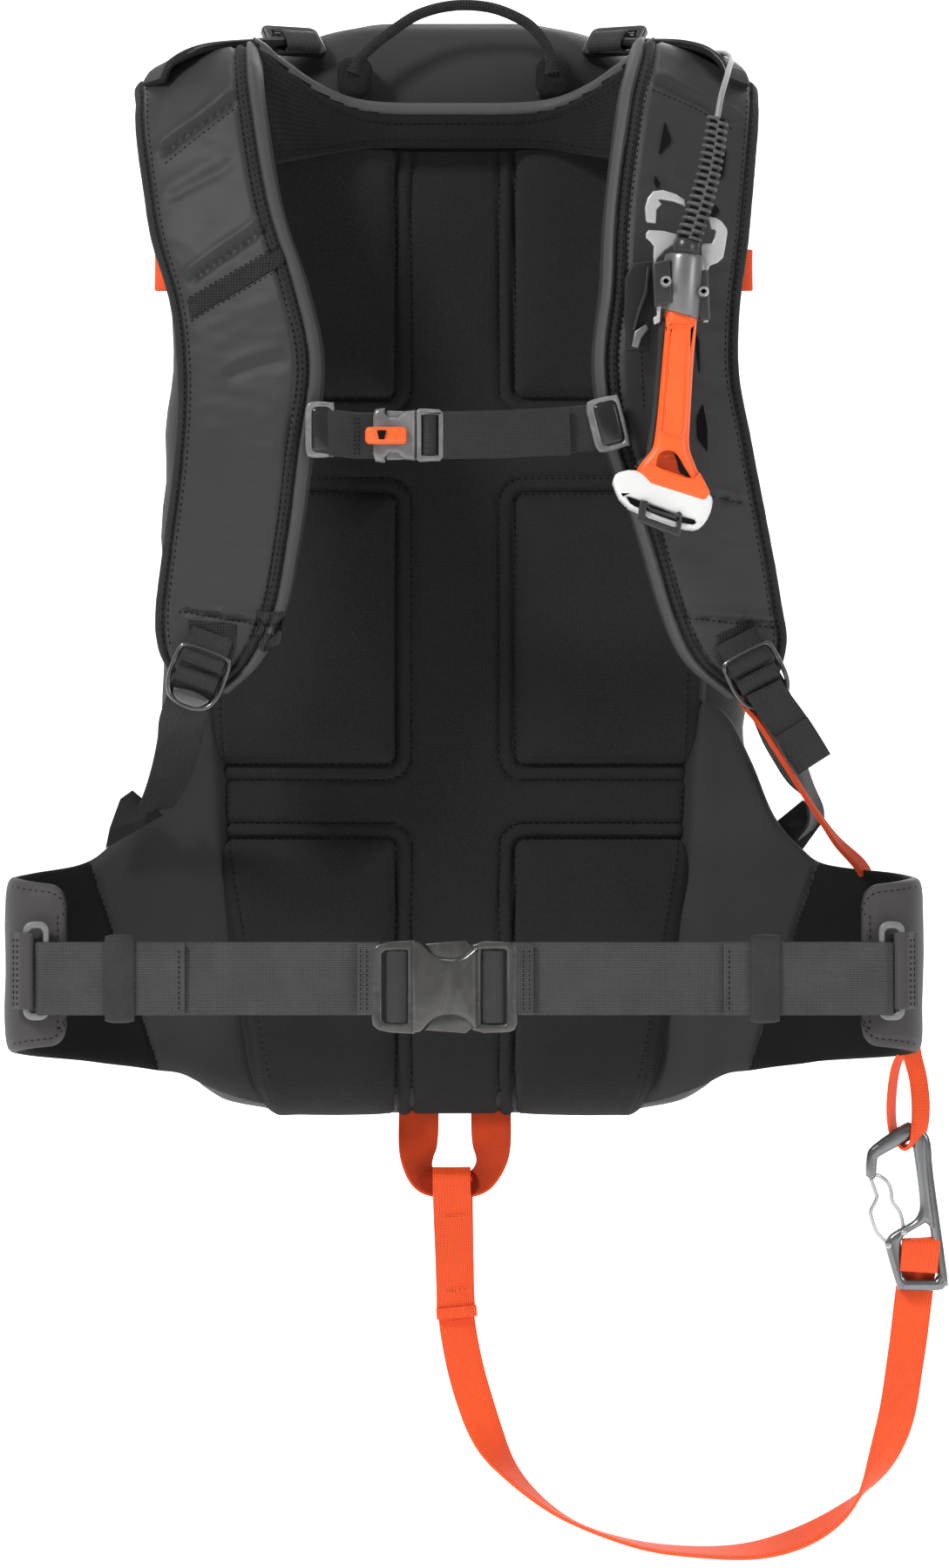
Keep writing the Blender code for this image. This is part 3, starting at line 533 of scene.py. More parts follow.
def stitches(name, lines, slot="thread", pitch=0.0034, long=0.0022, wide=0.00045, skin=None, body="pack",
        lift=0.0001):
    """Runs of single stitches; lines are lists of (x, z) dropped on skin, or of x, y, z."""
    verts, faces = [], []
    for line in lines:
        line = np.asarray(line, float)
        total = length_of(line)
        count = max(2, int(total / pitch))
        line = even(np.column_stack([line, np.zeros((len(line),
            3 - line.shape[1]))]) if line.shape[1] < 3 else line, count * 2 + 1)
        for k in range(count):
            a, b = line[2 * k], line[min(2 * k + 1, len(line) - 1)]
            if skin is not None:
                pa, na = skin.at(a[0], a[1], lift)
                pb, _ = skin.at(b[0], b[1], lift)
                if abs(pa.y - pb.y) > 0.006:
                    continue
            else:
                pa, pb, na = Vector(a), Vector(b), Vector((0, -1, 0))
            along = pb - pa
            if along.length < 1e-6:
                continue
            along = along.normalized() * long / 2
            mid = (pa + pb) / 2
            side = along.cross(na).normalized() * wide
            up = na.normalized() * wide
            base = len(verts)
            verts += [mid - along, mid + side, mid + up, mid - side, mid - up * 0.6, mid + along]
            faces += [(base + i, base + j, base + q) for i, j,
                q in ((0, 1, 2), (0, 2, 3), (0, 3, 4), (0, 4, 1), (5, 2, 1), (5, 3, 2), (5, 4, 3),
                (5, 1, 4))]
    return build(name, verts, faces, slot, body, sharp=0)


def patch(name, outline, skin, slot, lift=0.0006, body="pack", step=0.003, thick=0.0006):
    """A thin piece of fabric lying on skin, inside a convex outline of (x, z)."""
    pts = np.asarray(outline, float)
    mid = pts.mean(0)
    rings = max(3, int(np.linalg.norm(pts - mid, axis=1).max() / step))
    dense = even(np.column_stack([np.vstack([pts, pts[:1]]), np.zeros(len(pts) + 1)]),
        max(24, int(length_of(np.vstack([pts, pts[:1]])) / step)))[:-1, :2]
    m = len(dense)
    verts, uvs, faces = [], [], []
    layers = [(1.0, -0.2 * thick)] + [(1.0 - 0.999 * k / rings, thick) for k in range(rings)]
    layers[1] = (0.992, thick)
    for scale, up in layers:
        for p in dense:
            q = mid + (p - mid) * scale
            at, _ = skin.at(q[0], q[1], lift + up)
            verts.append(at)
            uvs.append(q)
    for k in range(len(layers) - 1):
        for j in range(m):
            i = (j + 1) % m
            faces.append((k * m + j, (k + 1) * m + j, (k + 1) * m + i, k * m + i))
    faces.append(tuple(range((len(layers) - 1) * m, len(layers) * m)))
    obj = build(name, verts, faces, slot, body, uvs, sharp=60)
    repair(obj.data, fill=True)
    return obj


def wobble(P, size, amount, seed=0.0):
    """Smooth noise height for each point of a grid."""
    flat = np.asarray(P, float).reshape(-1, 3)
    out = [noise.noise(Vector(p) / size + Vector((seed, seed * 0.7, -seed))) for p in flat]
    return amount * np.array(out).reshape(np.asarray(P).shape[:-1])


def unit(value):
    """The value held between 0 and 1."""
    return np.clip(value, 0, 1)


def groove(d, width, depth):
    """The depth of a soft groove at distance d from its middle."""
    return -depth * np.exp(-(np.asarray(d) / width) ** 2)


# ---------------------------------------- pack body
def superellipse(half, back, front, r, count=88):
    """A rounded-rectangle ring, count points, starting at the middle of the back."""
    outline = rounded(0, (back + front) / 2, half * 2, front - back, min(r, (front - back) / 2 - 0.001), 8)
    pts = np.array([*outline, outline[0]], float)
    start = np.argmin(np.abs(pts[:, 0]) + (pts[:, 1] > (back + front) / 2) * 9)
    pts = np.vstack([pts[start:-1], pts[:start + 1]])
    return even(np.column_stack([pts, np.zeros(len(pts))]), count + 1)[:-1, :2]


BODY = np.array([1, 1.028, 1, 1, 1]) * spline(tenths([(-5960, 1000, 320, 1500, 450),
    (-5880, 1280, 180, 1760, 500), (-5650, 1460, 120, 1920, 500), (-5000, 1530, 120, 2020, 500),
    (-4000, 1560, 120, 2050, 500), (-2500, 1550, 120, 2020, 500), (-1500, 1500, 120, 1900, 500),
    (-900, 1400, 120, 1780, 500), (-500, 1220, 140, 1600, 500), (-240, 1040, 200, 1420, 450),
    (-75, 780, 300, 1180, 380), (-5, 500, 450, 950, 200)]), 9)


def body_grid():
    """Rings up the pack body, with their cloth coordinates in metres."""
    rings, uvs = [], []
    run = 0.0
    for k, (z, half, back, front, r) in enumerate(BODY):
        ring = superellipse(half, back, front, r)
        if k:
            run += math.hypot(z - BODY[k - 1][0], half - BODY[k - 1][1])
        around = 0.0
        row, uv = [], []
        for j, (x, y) in enumerate(ring):
            if j:
                around += math.hypot(x - ring[j - 1][0], y - ring[j - 1][1])
            row.append((x, y, z))
            uv.append((around, run))
        rings.append(row)
        uvs.append(uv)
    return np.array(rings), np.array(uvs)


P, UV = body_grid()
mid = np.array([0, 0.105, 0])
out = P - mid
out[..., 2] = 0
out /= np.maximum(np.linalg.norm(out, axis=2, keepdims=True), 1e-6)
side = unit((np.abs(P[..., 0]) - 0.09) / 0.04) + unit((P[..., 1] - 0.12) / 0.05)
side = unit(side) * unit((P[..., 2] + 0.596) / 0.02) * unit((-0.02 - P[..., 2]) / 0.03)
lift = wobble(P * np.array([1, 1, 1.8]), 0.075, 0.0034, 3.0) + wobble(P * np.array([1.5, 1.0, 2.4]), 0.028,
    0.0011, 9.0)
for z0, deep in ((-0.118, 0.003), (-0.5, 0.0024)):
    lift += groove(P[..., 2] - z0 - 0.012 * np.sin(P[..., 1] * 16), 0.0035, deep)
lift += groove(P[..., 1] - 0.105 - 0.02 * np.sin(P[..., 2] * 6), 0.003,
    0.0022) * unit((np.abs(P[..., 0]) - 0.12) / 0.02)
P = P + out * (lift * side)[..., None]
nz, nr = P.shape[:2]
verts = [tuple(p) for p in P.reshape(-1, 3)]
uvs = [tuple(p) for p in UV.reshape(-1, 2)]
faces = between(nz - 1, nr)
for end, flip in ((0, True), (nz - 1, False)):
    ring = P[end]
    centre = ring.mean(0)
    centre[2] += -0.002 if end == 0 else 0.0015
    prev = [end * nr + j for j in range(nr)]
    for q, shrink in enumerate((0.75, 0.5, 0.25)):
        base = len(verts)
        for j in range(nr):
            p = centre + (ring[j] - centre) * shrink
            verts.append(tuple(p))
            uvs.append((p[0] + 2, p[1]))
        now = [base + j for j in range(nr)]
        for j in range(nr):
            i = (j + 1) % nr
            face = (prev[j], prev[i], now[i], now[j])
            faces.append(face[::-1] if flip else face)
        prev = now
    verts.append(tuple(centre))
    uvs.append((centre[0] + 2, centre[1]))
    for j in range(nr):
        face = (prev[j], prev[(j + 1) % nr], len(verts) - 1)
        faces.append(face[::-1] if flip else face)
build("shell_skin", verts, faces, "shell", uvs=uvs, stands_for=("pack_shell",), sharp=0)

# ---------------------------------------- front pocket and its zip
POCKET = spline(tenths([(-5660, 980, 1930, 2000), (-5580, 1080, 1970, 2180), (-5000, 1150, 2030, 2280),
    (-4000, 1170, 2055, 2295), (-2500, 1150, 2050, 2295), (-1700, 1080, 1950, 2200),
    (-1200, 980, 1850, 1990), (-1080, 850, 1825, 1880)]), 6)
rows = []
for z, half, back, front in POCKET:
    xs = np.linspace(-1, 1, 45)
    crown = (1 - np.abs(xs) ** 6) ** 0.5
    row = np.column_stack([xs * half, back - 0.004 + (front - back + 0.004) * crown, np.full(45, z)])
    rows.append(row)
P = np.array(rows)
lift = wobble(P * np.array([1, 1, 2.0]), 0.06, 0.0022, 5.0) * unit((0.1 - np.abs(P[..., 0])) / 0.02)
lift += groove(np.abs(P[..., 0]) - 0.078, 0.0022, 0.0022) + groove(P[..., 2] + 0.15, 0.0022, 0.0018)
slab("pocket_skin", P, lift, 0.012, "shell", facing=(0, 1, 0), stands_for=("front_pocket",))
ZIP_X, TEETH, TOOTH_PITCH = 0.078, 110, 0.003
zip_line = [(ZIP_X, 0.2288, z) for z in np.linspace(-0.52, -0.185, 60)]
ribbon("zip_tape", zip_line, 0.014, "web_dark", (1, 0, 0), 0.0014)
teeth_v, teeth_f = [], []
for k in range(TEETH):
    z = -0.518 + k * TOOTH_PITCH
    for s in (-1, 1):
        base = len(teeth_v)
        x0, x1 = ZIP_X + s * 0.0002, ZIP_X + s * 0.0022
        zz = z + (0.0015 if s > 0 else 0)
        teeth_v += [(x0, 0.229, zz), (x1, 0.229, zz), (x1, 0.229, zz + 0.0016), (x0, 0.229, zz + 0.0016),
            (x0, 0.2303, zz + 0.0002), (x1, 0.2303, zz + 0.0002), (x1, 0.2303, zz + 0.0014),
            (x0, 0.2303, zz + 0.0014)]
        teeth_f += [tuple(base + i for i in f) for f in ((0, 1, 2, 3), (7, 6, 5, 4), (0, 4, 5, 1),
            (1, 5, 6, 2), (2, 6, 7, 3), (3, 7, 4, 0))]
build("zip_teeth", teeth_v, teeth_f, "black_matt", sharp=30)
back_turn = Matrix.Rotation(math.pi, 4, "Z") @ Matrix.Rotation(math.pi / 2, 4, "X")
plate("zip_slider_body", rounded(0, 0, 0.0095, 0.012, 0.0035),
    [rounded(0, -0.002, 0.0035, 0.003, 0.001, 2)], 0.0032, "black", (ZIP_X, 0.2318, -0.256),
    body="zip_slider", turn=back_turn, stands_for=("front_zip_slider",))
plate("zip_puller", rounded(0, -0.011, 0.007, 0.024, 0.003), [rounded(0, -0.003, 0.003, 0.004, 0.001, 2)],
    0.0018, "orange_plastic", (ZIP_X, 0.2345, -0.256), body="zip_slider", turn=back_turn)


# ---------------------------------------- back panel: knit over raised pads
COLS = ((-0.2, -0.0275), (0.0286, 0.2))
ROWS = tenths([(-2120, 500), (-4100, -2560), (-6400, -4425)])
BAND = 0.0043


def pad_depth(x, z):
    """Signed distance to the middle of the seam band: positive on a pad, negative in a channel."""
    best = np.full(np.shape(x), -1.0)
    for x0, x1 in COLS:
        for z0, z1 in ROWS:
            r = 0.0085
            hx, hz = (x1 - x0) / 2, (z1 - z0) / 2
            dx = np.abs(x - (x0 + x1) / 2) - hx + r
            dz = np.abs(z - (z0 + z1) / 2) - hz + r
            outside = np.hypot(np.maximum(dx, 0), np.maximum(dz, 0)) + np.minimum(np.maximum(dx, dz), 0) - r
            best = np.maximum(best, -outside)
    return best


PANEL = spline(tenths([(-5935, 940), (-5880, 985), (-5750, 1030), (-5600, 1060), (-5000, 1160),
    (-4687, 1215), (-4400, 1255), (-3700, 1293), (-3000, 1290), (-2000, 1235), (-1100, 1180),
    (-750, 1105)]), 6)
PANEL = even(np.column_stack([PANEL[:, 0], PANEL[:, 1], np.zeros(len(PANEL))]), 250)[:, :2]
PANEL_COLUMNS, PANEL_BASE = 131, 0.0117 - 0.0035
rows = []
for z, half in PANEL:
    xs = np.linspace(-1, 1, PANEL_COLUMNS)
    drop = unit((np.abs(xs) - 0.965) / 0.035) ** 2 * 0.007
    low = unit((-0.56 - z) / 0.034) ** 2 * 0.02
    rows.append(np.column_stack([xs * half, PANEL_BASE + drop + low, np.full(PANEL_COLUMNS, z)]))
P = np.array(rows)
D = pad_depth(P[..., 0], P[..., 2])
edge = unit((1 - np.abs(np.linspace(-1, 1, PANEL_COLUMNS)))[None, :] / 0.04)
ends = unit((P[..., 2] + 0.5935) / 0.02)
rise = unit((D - BAND) / 0.024)
height = 0.0035 + 0.011 * np.sqrt(unit(1 - (1 - rise) ** 2)) * edge ** 0.6 * ends ** 0.5
height += np.where(np.abs(D) < BAND, 0.0011 * np.sqrt(unit(1 - (D / BAND) ** 2)), 0)
height += groove(D - BAND, 0.0016, 0.0036) + groove(D + BAND, 0.0014, 0.0024)
height += wobble(P, 0.035, 0.0011, 2.0) * rise
height += wobble(P, 0.012, 0.00022, 6.0)
panel = slab("panel_knit", P, height, 0.004, "knit", stands_for=("back_panel",), pad=0.85)
panel_skin = Skin(panel)


def seam_loops(offset):
    """The pads' outlines, offset from the middle of their seam bands and cut at the panel's edge."""
    lines = []
    for x0, x1 in COLS:
        for z0, z1 in ROWS:
            w, h = x1 - x0 - 2 * offset, z1 - z0 - 2 * offset
            r = max(0.0085 - offset, 0.003)
            ring = rounded((x0 + x1) / 2, (z0 + z1) / 2, w, h, r, 5)
            ring = np.array([*ring, ring[0]])
            dense = even(np.column_stack([ring, np.zeros(len(ring))]), int(length_of(ring) / 0.001))[:, :2]
            limit = np.interp(dense[:, 1], PANEL[:, 0], PANEL[:, 1]) - 0.005
            keep = (np.abs(dense[:, 0]) < limit) & (dense[:, 1] > -0.59) & (dense[:, 1] < -0.08)
            run = []
            for p, k in zip(dense, keep):
                if k:
                    run.append(p)
                elif len(run) > 8:
                    lines.append(run)
                    run = []
                else:
                    run = []
            if len(run) > 8:
                lines.append(run)
    return lines


stitches("panel_seams", seam_loops(BAND) + seam_loops(-BAND), "thread", 0.0037, 0.0023, 0.00042, panel_skin,
    lift=0.0002)
edge_line = [[(s * (np.interp(z, PANEL[:, 0], PANEL[:, 1]) - 0.0035), z) for z in np.linspace(-0.575, -0.1,
    120)] for s in (-1, 1)]
stitches("panel_edge_seams", edge_line, "thread", 0.0037, 0.0023, 0.0004, panel_skin)
for name, s in (("left", -1), ("right", 1)):
    run = [(s * (half + 0.0006), 0.0056 + 0.02 * max(0.0, (-0.56 - z) / 0.034) ** 2, z) for z,
        half in PANEL[6:-4:3]]
    tube("panel_binding_" + name, run, 0.0017, "band", 10)


# ---------------------------------------- yoke
YOKE = spline(tenths([(-1065, -340, -780, -185, -970), (-1000, -340, -660, -225, -915),
    (-910, -300, -500, -295, -868), (-700, -180, -240, -425, -800), (-450, -90, -100, -495, -748),
    (0, -80, -80, -505, -742), (450, -90, -100, -495, -748), (700, -180, -240, -425, -800),
    (910, -300, -500, -295, -868), (1000, -340, -660, -225, -915), (1065, -340, -780, -185, -970)]), 9)
YOKE_ROWS = 36
rows = []
for x, y_top, y_low, top, low in YOKE:
    t = np.linspace(0, 1, YOKE_ROWS)
    rows.append(np.column_stack([np.full(YOKE_ROWS, x), y_low + (y_top - y_low) * t + 0.002 - 0.004 * t,
        low + (top - low) * t]))
P = np.array(rows).transpose(1, 0, 2)
t = np.linspace(0, 1, YOKE_ROWS)[:, None] * np.ones((1, P.shape[1]))
w = (P[-1, :, 2] - P[0, :, 2])[None, :] * np.ones_like(t)
from_top = (1 - t) * w
puff = 0.004 * np.sqrt(unit(1 - (2 * t - 1) ** 4))
height = puff + groove(from_top - 0.0065, 0.0011, 0.0016) + groove(from_top - 0.0115, 0.0008, 0.0006)
height += groove(P[..., 0] + 0.009, 0.0011, 0.0014) + wobble(P * np.array([2.2, 1, 1]), 0.014, 0.0007, 4.0)
pick = ((from_top < 0.0064)[:-1, :-1]).astype(int)
yoke = slab("yoke_pad", P, height, 0.0035, ["yoke", "piping"], pick=pick, stands_for=("yoke",), pad=0.85)
yoke_skin = Skin(yoke)
stitches("yoke_seams", [[(row[0], row[3] - 0.0115) for row in YOKE[8:-8]],
    [(row[0], row[4] + 0.0035) for row in YOKE[8:-8]]], "thread", 0.0034, 0.0021, 0.0004, yoke_skin)


# ---------------------------------------- shoulder straps
LEFT = tenths([(-1400, -80, -660, -1010, -80, -540), (-1680, -200, -460, -1040, -320, -260),
    (-1690, -440, -580, -1030, -600, -360), (-1670, -620, -810, -1000, -780, -600),
    (-1590, -850, -1290, -900, -1010, -1150), (-1480, -950, -1670, -760, -1150, -1590),
    (-1440, -1000, -2030, -680, -1200, -2000), (-1455, -1000, -2440, -736, -1200, -2450),
    (-1515, -920, -2890, -800, -1100, -2900), (-1565, -830, -3250, -875, -970, -3260),
    (-1550, -780, -3460, -1010, -880, -3530), (-1470, -750, -3620, -1180, -800, -3690)])
RIGHT = tenths([(1400, -80, -660, 945, -80, -520), (1600, -200, -460, 955, -320, -230),
    (1620, -440, -580, 925, -600, -360), (1600, -620, -810, 870, -780, -600),
    (1550, -850, -1290, 795, -1010, -1170), (1500, -950, -1670, 770, -1150, -1590),
    (1490, -1000, -2030, 730, -1200, -2000), (1550, -1000, -2350, 790, -1200, -2410),
    (1640, -920, -2800, 940, -1100, -2810), (1720, -830, -3210, 1080, -970, -3260),
    (1750, -780, -3430, 1210, -880, -3530), (1690, -750, -3660, 1440, -800, -3720)])


def strap(name, table, cad, sign, creases, outer_band, inner_band):
    """One shoulder strap: a foam pad with a satin face, knit bands and a rolled binding inside."""
    rows = spline(table, 18)
    middle = (rows[:, :3] + rows[:, 3:]) / 2
    run = run_of(middle)
    n = 210
    at = np.linspace(0, run[-1], n)
    rows = np.column_stack([np.interp(at, run, rows[:, k]) for k in range(6)])
    a, b = rows[:, :3], rows[:, 3:]
    width = np.linalg.norm(b - a, axis=1)
    t = np.concatenate([np.linspace(0, 0.03, 4)[:-1], np.linspace(0.03, 0.97, 58),
        np.linspace(0.97, 1, 4)[1:]])
    P = a[:, None] + (b - a)[:, None] * t[None, :, None]
    w = width[:, None]
    din = (1 - t)[None] * w
    dout = t[None] * w
    s = at[:, None] / at[-1] + 0 * din
    tip = unit((at[-1] - at) / 0.02)[:, None]
    u = 2 * t - 1
    height = 0.007 * (1 - np.abs(u) ** 3.2)[None] ** 0.55 * np.sqrt(np.clip(1 - (1 - tip) ** 2, 0.05, 1))
    height = height + 0.0022 * np.exp(-((din - 0.0028) / 0.0024) ** 2)
    height += groove(din - inner_band[0], 0.0011, 0.0024) + groove(din - inner_band[1], 0.0012, 0.0021)
    height += groove(dout - outer_band, 0.0011, 0.0018)
    height += wobble(P, 0.03, 0.0011, sign * 3.0 + 8) + wobble(P * np.array([1, 1, 2.2]), 0.012, 0.00045,
        1.0)
    for (x0, z0), (x1, z1), wide, deep in creases:
        line = np.array([x1 - x0, z1 - z0])
        size = np.hypot(*line)
        line /= size
        rel = np.stack([P[..., 0] - x0, P[..., 2] - z0], -1)
        along = rel @ line
        off = rel @ np.array([-line[1], line[0]])
        fade = unit(along / 0.006) * unit((size - along) / 0.006)
        height += fade * (groove(off, wide, deep) - 0.6 * groove(off - wide * 2.1, wide * 1.2, deep))
    pick = np.zeros((n - 1, len(t) - 1), int)
    din_c, dout_c = din[:-1, :-1], dout[:-1, :-1]
    pick[dout_c < outer_band] = 1
    pick[din_c < inner_band[1]] = 1
    pick[din_c < inner_band[0]] = 2
    pick[(1 - t[1:])[None, :] * w[:-1] < 0.0004] = 2
    shown = slab(name, P, height, 0.0058, ["satin", "band", "piping"], pick=pick, behind=1,
        stands_for=(cad,), pad=0.85)
    skin = Skin(shown)
    return skin, P, din, dout


def strap_line(P, distances, offset, start=0, stop=None):
    """The run of (x, z) on a strap's grid at a fixed distance in from one edge."""
    line = []
    for k in range(start, stop or len(P)):
        row, d = P[k], distances[k]
        order = np.argsort(d)
        line.append(tuple(np.interp(offset, d[order], row[order, c]) for c in (0, 2)))
    return line


left_creases = [((-0.1535, -0.0895), (-0.11, -0.0565), 0.002, 0.003),
    ((-0.1375, -0.157), (-0.0925, -0.126), 0.0022, 0.003),
    ((-0.118, -0.206), (-0.083, -0.196), 0.003, 0.0014), ((-0.145, -0.3245), (-0.085, -0.334), 0.0018,
    0.0022), ((-0.15, -0.114), (-0.11, -0.093), 0.003, 0.0012)]
right_creases = [((0.101, -0.0485), (0.15, -0.0715), 0.0018, 0.0024),
    ((0.133, -0.2655), (0.1535, -0.27), 0.0016, 0.0018), ((0.105, -0.1), (0.13, -0.126), 0.003, 0.0014),
    ((0.1, -0.127), (0.123, -0.137), 0.0026, 0.0016), ((0.118, -0.328), (0.17, -0.333), 0.0018, 0.002)]
straps = {}
for name, table, sign, creases in (("left", LEFT, -1, left_creases), ("right", RIGHT, 1, right_creases)):
    straps[name] = strap("strap_" + name, table, "shoulder_strap_" + name, sign, creases, 0.0062,
        (0.0062, 0.0118))
    skin, P, din, dout = straps[name]
    lines = [strap_line(P, dout, 0.004, 24, 200)]
    lines += [strap_line(P, din, d, 24, 196) for d in (0.008, 0.0104)]
    stitches("strap_seams_" + name, lines, "thread", 0.0034, 0.0021, 0.0004, skin)
    lines = [strap_line(P, dout, 0.0074, 24, 200), strap_line(P, din, 0.0131, 24, 196)]
    stitches("strap_dashes_" + name, lines, "thread", 0.0034, 0.0021, 0.0005, skin)
skin_left, skin_right = straps["left"][0], straps["right"][0]

patch("strap_loop_band", tenths([(-1365, -1745), (-1385, -1650), (-905, -1380), (-865, -1460)]), skin_left,
    "loopband", 0.0004)
patch("strap_bartack_left", tenths([(-1385, -3310), (-1375, -3440), (-1145, -3475), (-1130, -3335)]),
    skin_left, "loopband", 0.0004)
patch("strap_bartack_binding", tenths([(-1030, -3265), (-1010, -3480), (-905, -3440), (-880, -3270)]),
    skin_left, "web_dark", 0.0004)
patch("strap_bartack_right", tenths([(1375, -3395), (1412, -3475), (1600, -3400), (1562, -3305)]),
    skin_right, "loopband", 0.0004)
# The strap's slots are thin near-black patches: painted shadow in the openings.
for k, slit in enumerate((tenths([(1107, -699), (1141, -801), (1073, -878), (1090, -784)]),
        tenths([(1431, -838), (1415, -972), (1394, -1006), (1399, -895)]),
        tenths([(1053, -994), (1076, -1040), (1066, -1060), (1048, -1030)]),
        tenths([(1370, -1140), (1386, -1172), (1359, -1210), (1335, -1192)]),
        tenths([(1262, -1833), (1275, -1869), (1277, -2041), (1259, -1905)]),
        tenths([(1293, -2199), (1315, -2322), (1317, -2440), (1266, -2376), (1263, -2268)]))):
    patch("strap_slot_%d" % k, slit, skin_right, "void", 0.0004)
stitches("overlay_seams", [tenths([(1045, -515), (1270, -610), (1480, -725)]),
    tenths([(845, -1618), (912, -1668), (975, -1950), (989, -2236)]), [(0.1345, -0.267), (0.152, -0.271)],
    [(0.12, -0.33), (0.169, -0.335)]], "thread", 0.003, 0.002, 0.0004, skin_right)
stitches("left_panel_seams", [[(-0.1515, -0.091), (-0.1115, -0.0595)],
    [(-0.1365, -0.176), (-0.087, -0.148)], [(-0.1375, -0.1635), (-0.09, -0.1365)],
    [(-0.144, -0.3265), (-0.088, -0.336)]], "thread", 0.003, 0.002, 0.0004, skin_left)


# ---------------------------------------- haul loop and load lifters
rope = spline(tenths([(-545, -30, -340), (-520, -30, -275), (-450, -20, -200), (-345, -10, -115),
    (-190, 0, -15), (0, 0, 32), (200, 0, 20), (371, -5, -50), (459, -20, -131), (512, -30, -220),
    (530, -30, -340)]), 8)
thick = 0.003 + 0.002 * unit((np.abs(np.linspace(-1, 1, len(rope))) - 0.8) / 0.2) ** 1.5
tube("haul_rope", rope, thick * 0.98, "loopband", 16, stands_for=("haul_loop",))
for s, name in ((-1, "left"), (1, "right")):
    cushion_plate("haul_patch_" + name, rounded(0, 0, 0.019, 0.022, 0.007),
        tenths([(20, -160), (0, -140), (0, 12), (16, 32), (42, 42)]), "loopband",
        (s * 0.0535, -0.001, -0.036))
    stitches("haul_stitch_" + name, [[(s * (0.0505 + 0.0022 * j), -0.0098, -0.027),
        (s * (0.0505 + 0.0022 * j), -0.0102, -0.038)] for j in range(4)], "thread_light", 0.0028, 0.002,
        0.0004)
    out = 0.0 if s < 0 else 0.0085
    run = [(s * (0.159 - out), -0.05, -0.045), (s * (0.1545 - 0.8 * out), -0.0465, -0.0365),
        (s * (0.142 - 0.3 * out), -0.04, -0.029), (s * 0.127, -0.028, -0.0242), (s * 0.111, -0.01, -0.0205),
        (s * 0.1, 0.006, -0.018), (s * 0.093, 0.016, -0.0168)]
    lifter = ribbon("lifter_web_" + name, run, 0.019, "web_dark", (s * 0.6, 0.74, -0.22), 0.0042, body=None,
        stands_for=("load_lifter_" + name,), wave=0.0004, seed=3 + s)
    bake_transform(lifter)
    lifter_edge = [(x - s * 0.0055, y - 0.0065, z + 0.0024) for x, y, z in run]
    rim_cord = tube("lifter_edge_" + name, spline(lifter_edge, 4), 0.0011, "black", 10, body=None)
    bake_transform(rim_cord)
    lever = Vector((s * 0.0902, 0.0246, -0.0075))
    turn = Matrix.Rotation(s * math.radians(-25), 4, "Z") @ Matrix.Rotation(math.radians(42), 4, "X")
    plate("lifter_lock_" + name, rounded(0, -0.0095, 0.033, 0.024, 0.0045),
        [rounded(0, y, 0.023, 0.0032, 0.0012, 3) for y in (-0.004, -0.015)], 0.0042, "black", lever,
        soft=0.0011, body="lifter_" + name, turn=turn, stands_for=("lifter_buckle_" + name,), res=3)
    bar = [tuple(lever + (turn @ Vector((x, -0.0095, 0.0028)))) for x in np.linspace(-0.0125, 0.0125, 8)]
    tube("lifter_bar_" + name, bar, 0.0022, "black", 12, body="lifter_" + name)
    side_dir = turn @ Vector((1, 0, 0))
    up, outw = turn @ Vector((0, 1, 0)), turn @ Vector((0, 0, 1))
    roll = [lever + up * a + outw * b for a, b in tenths([(-185, 24), (-105, 58), (-125, 80), (-180, 80),
        (-225, 70), (-240, 45), (-215, 35)])]
    ribbon("lifter_tail_" + name, roll, 0.0195, "web_dark", tuple(side_dir), 0.0017, body="lifter_" + name,
        count=40)


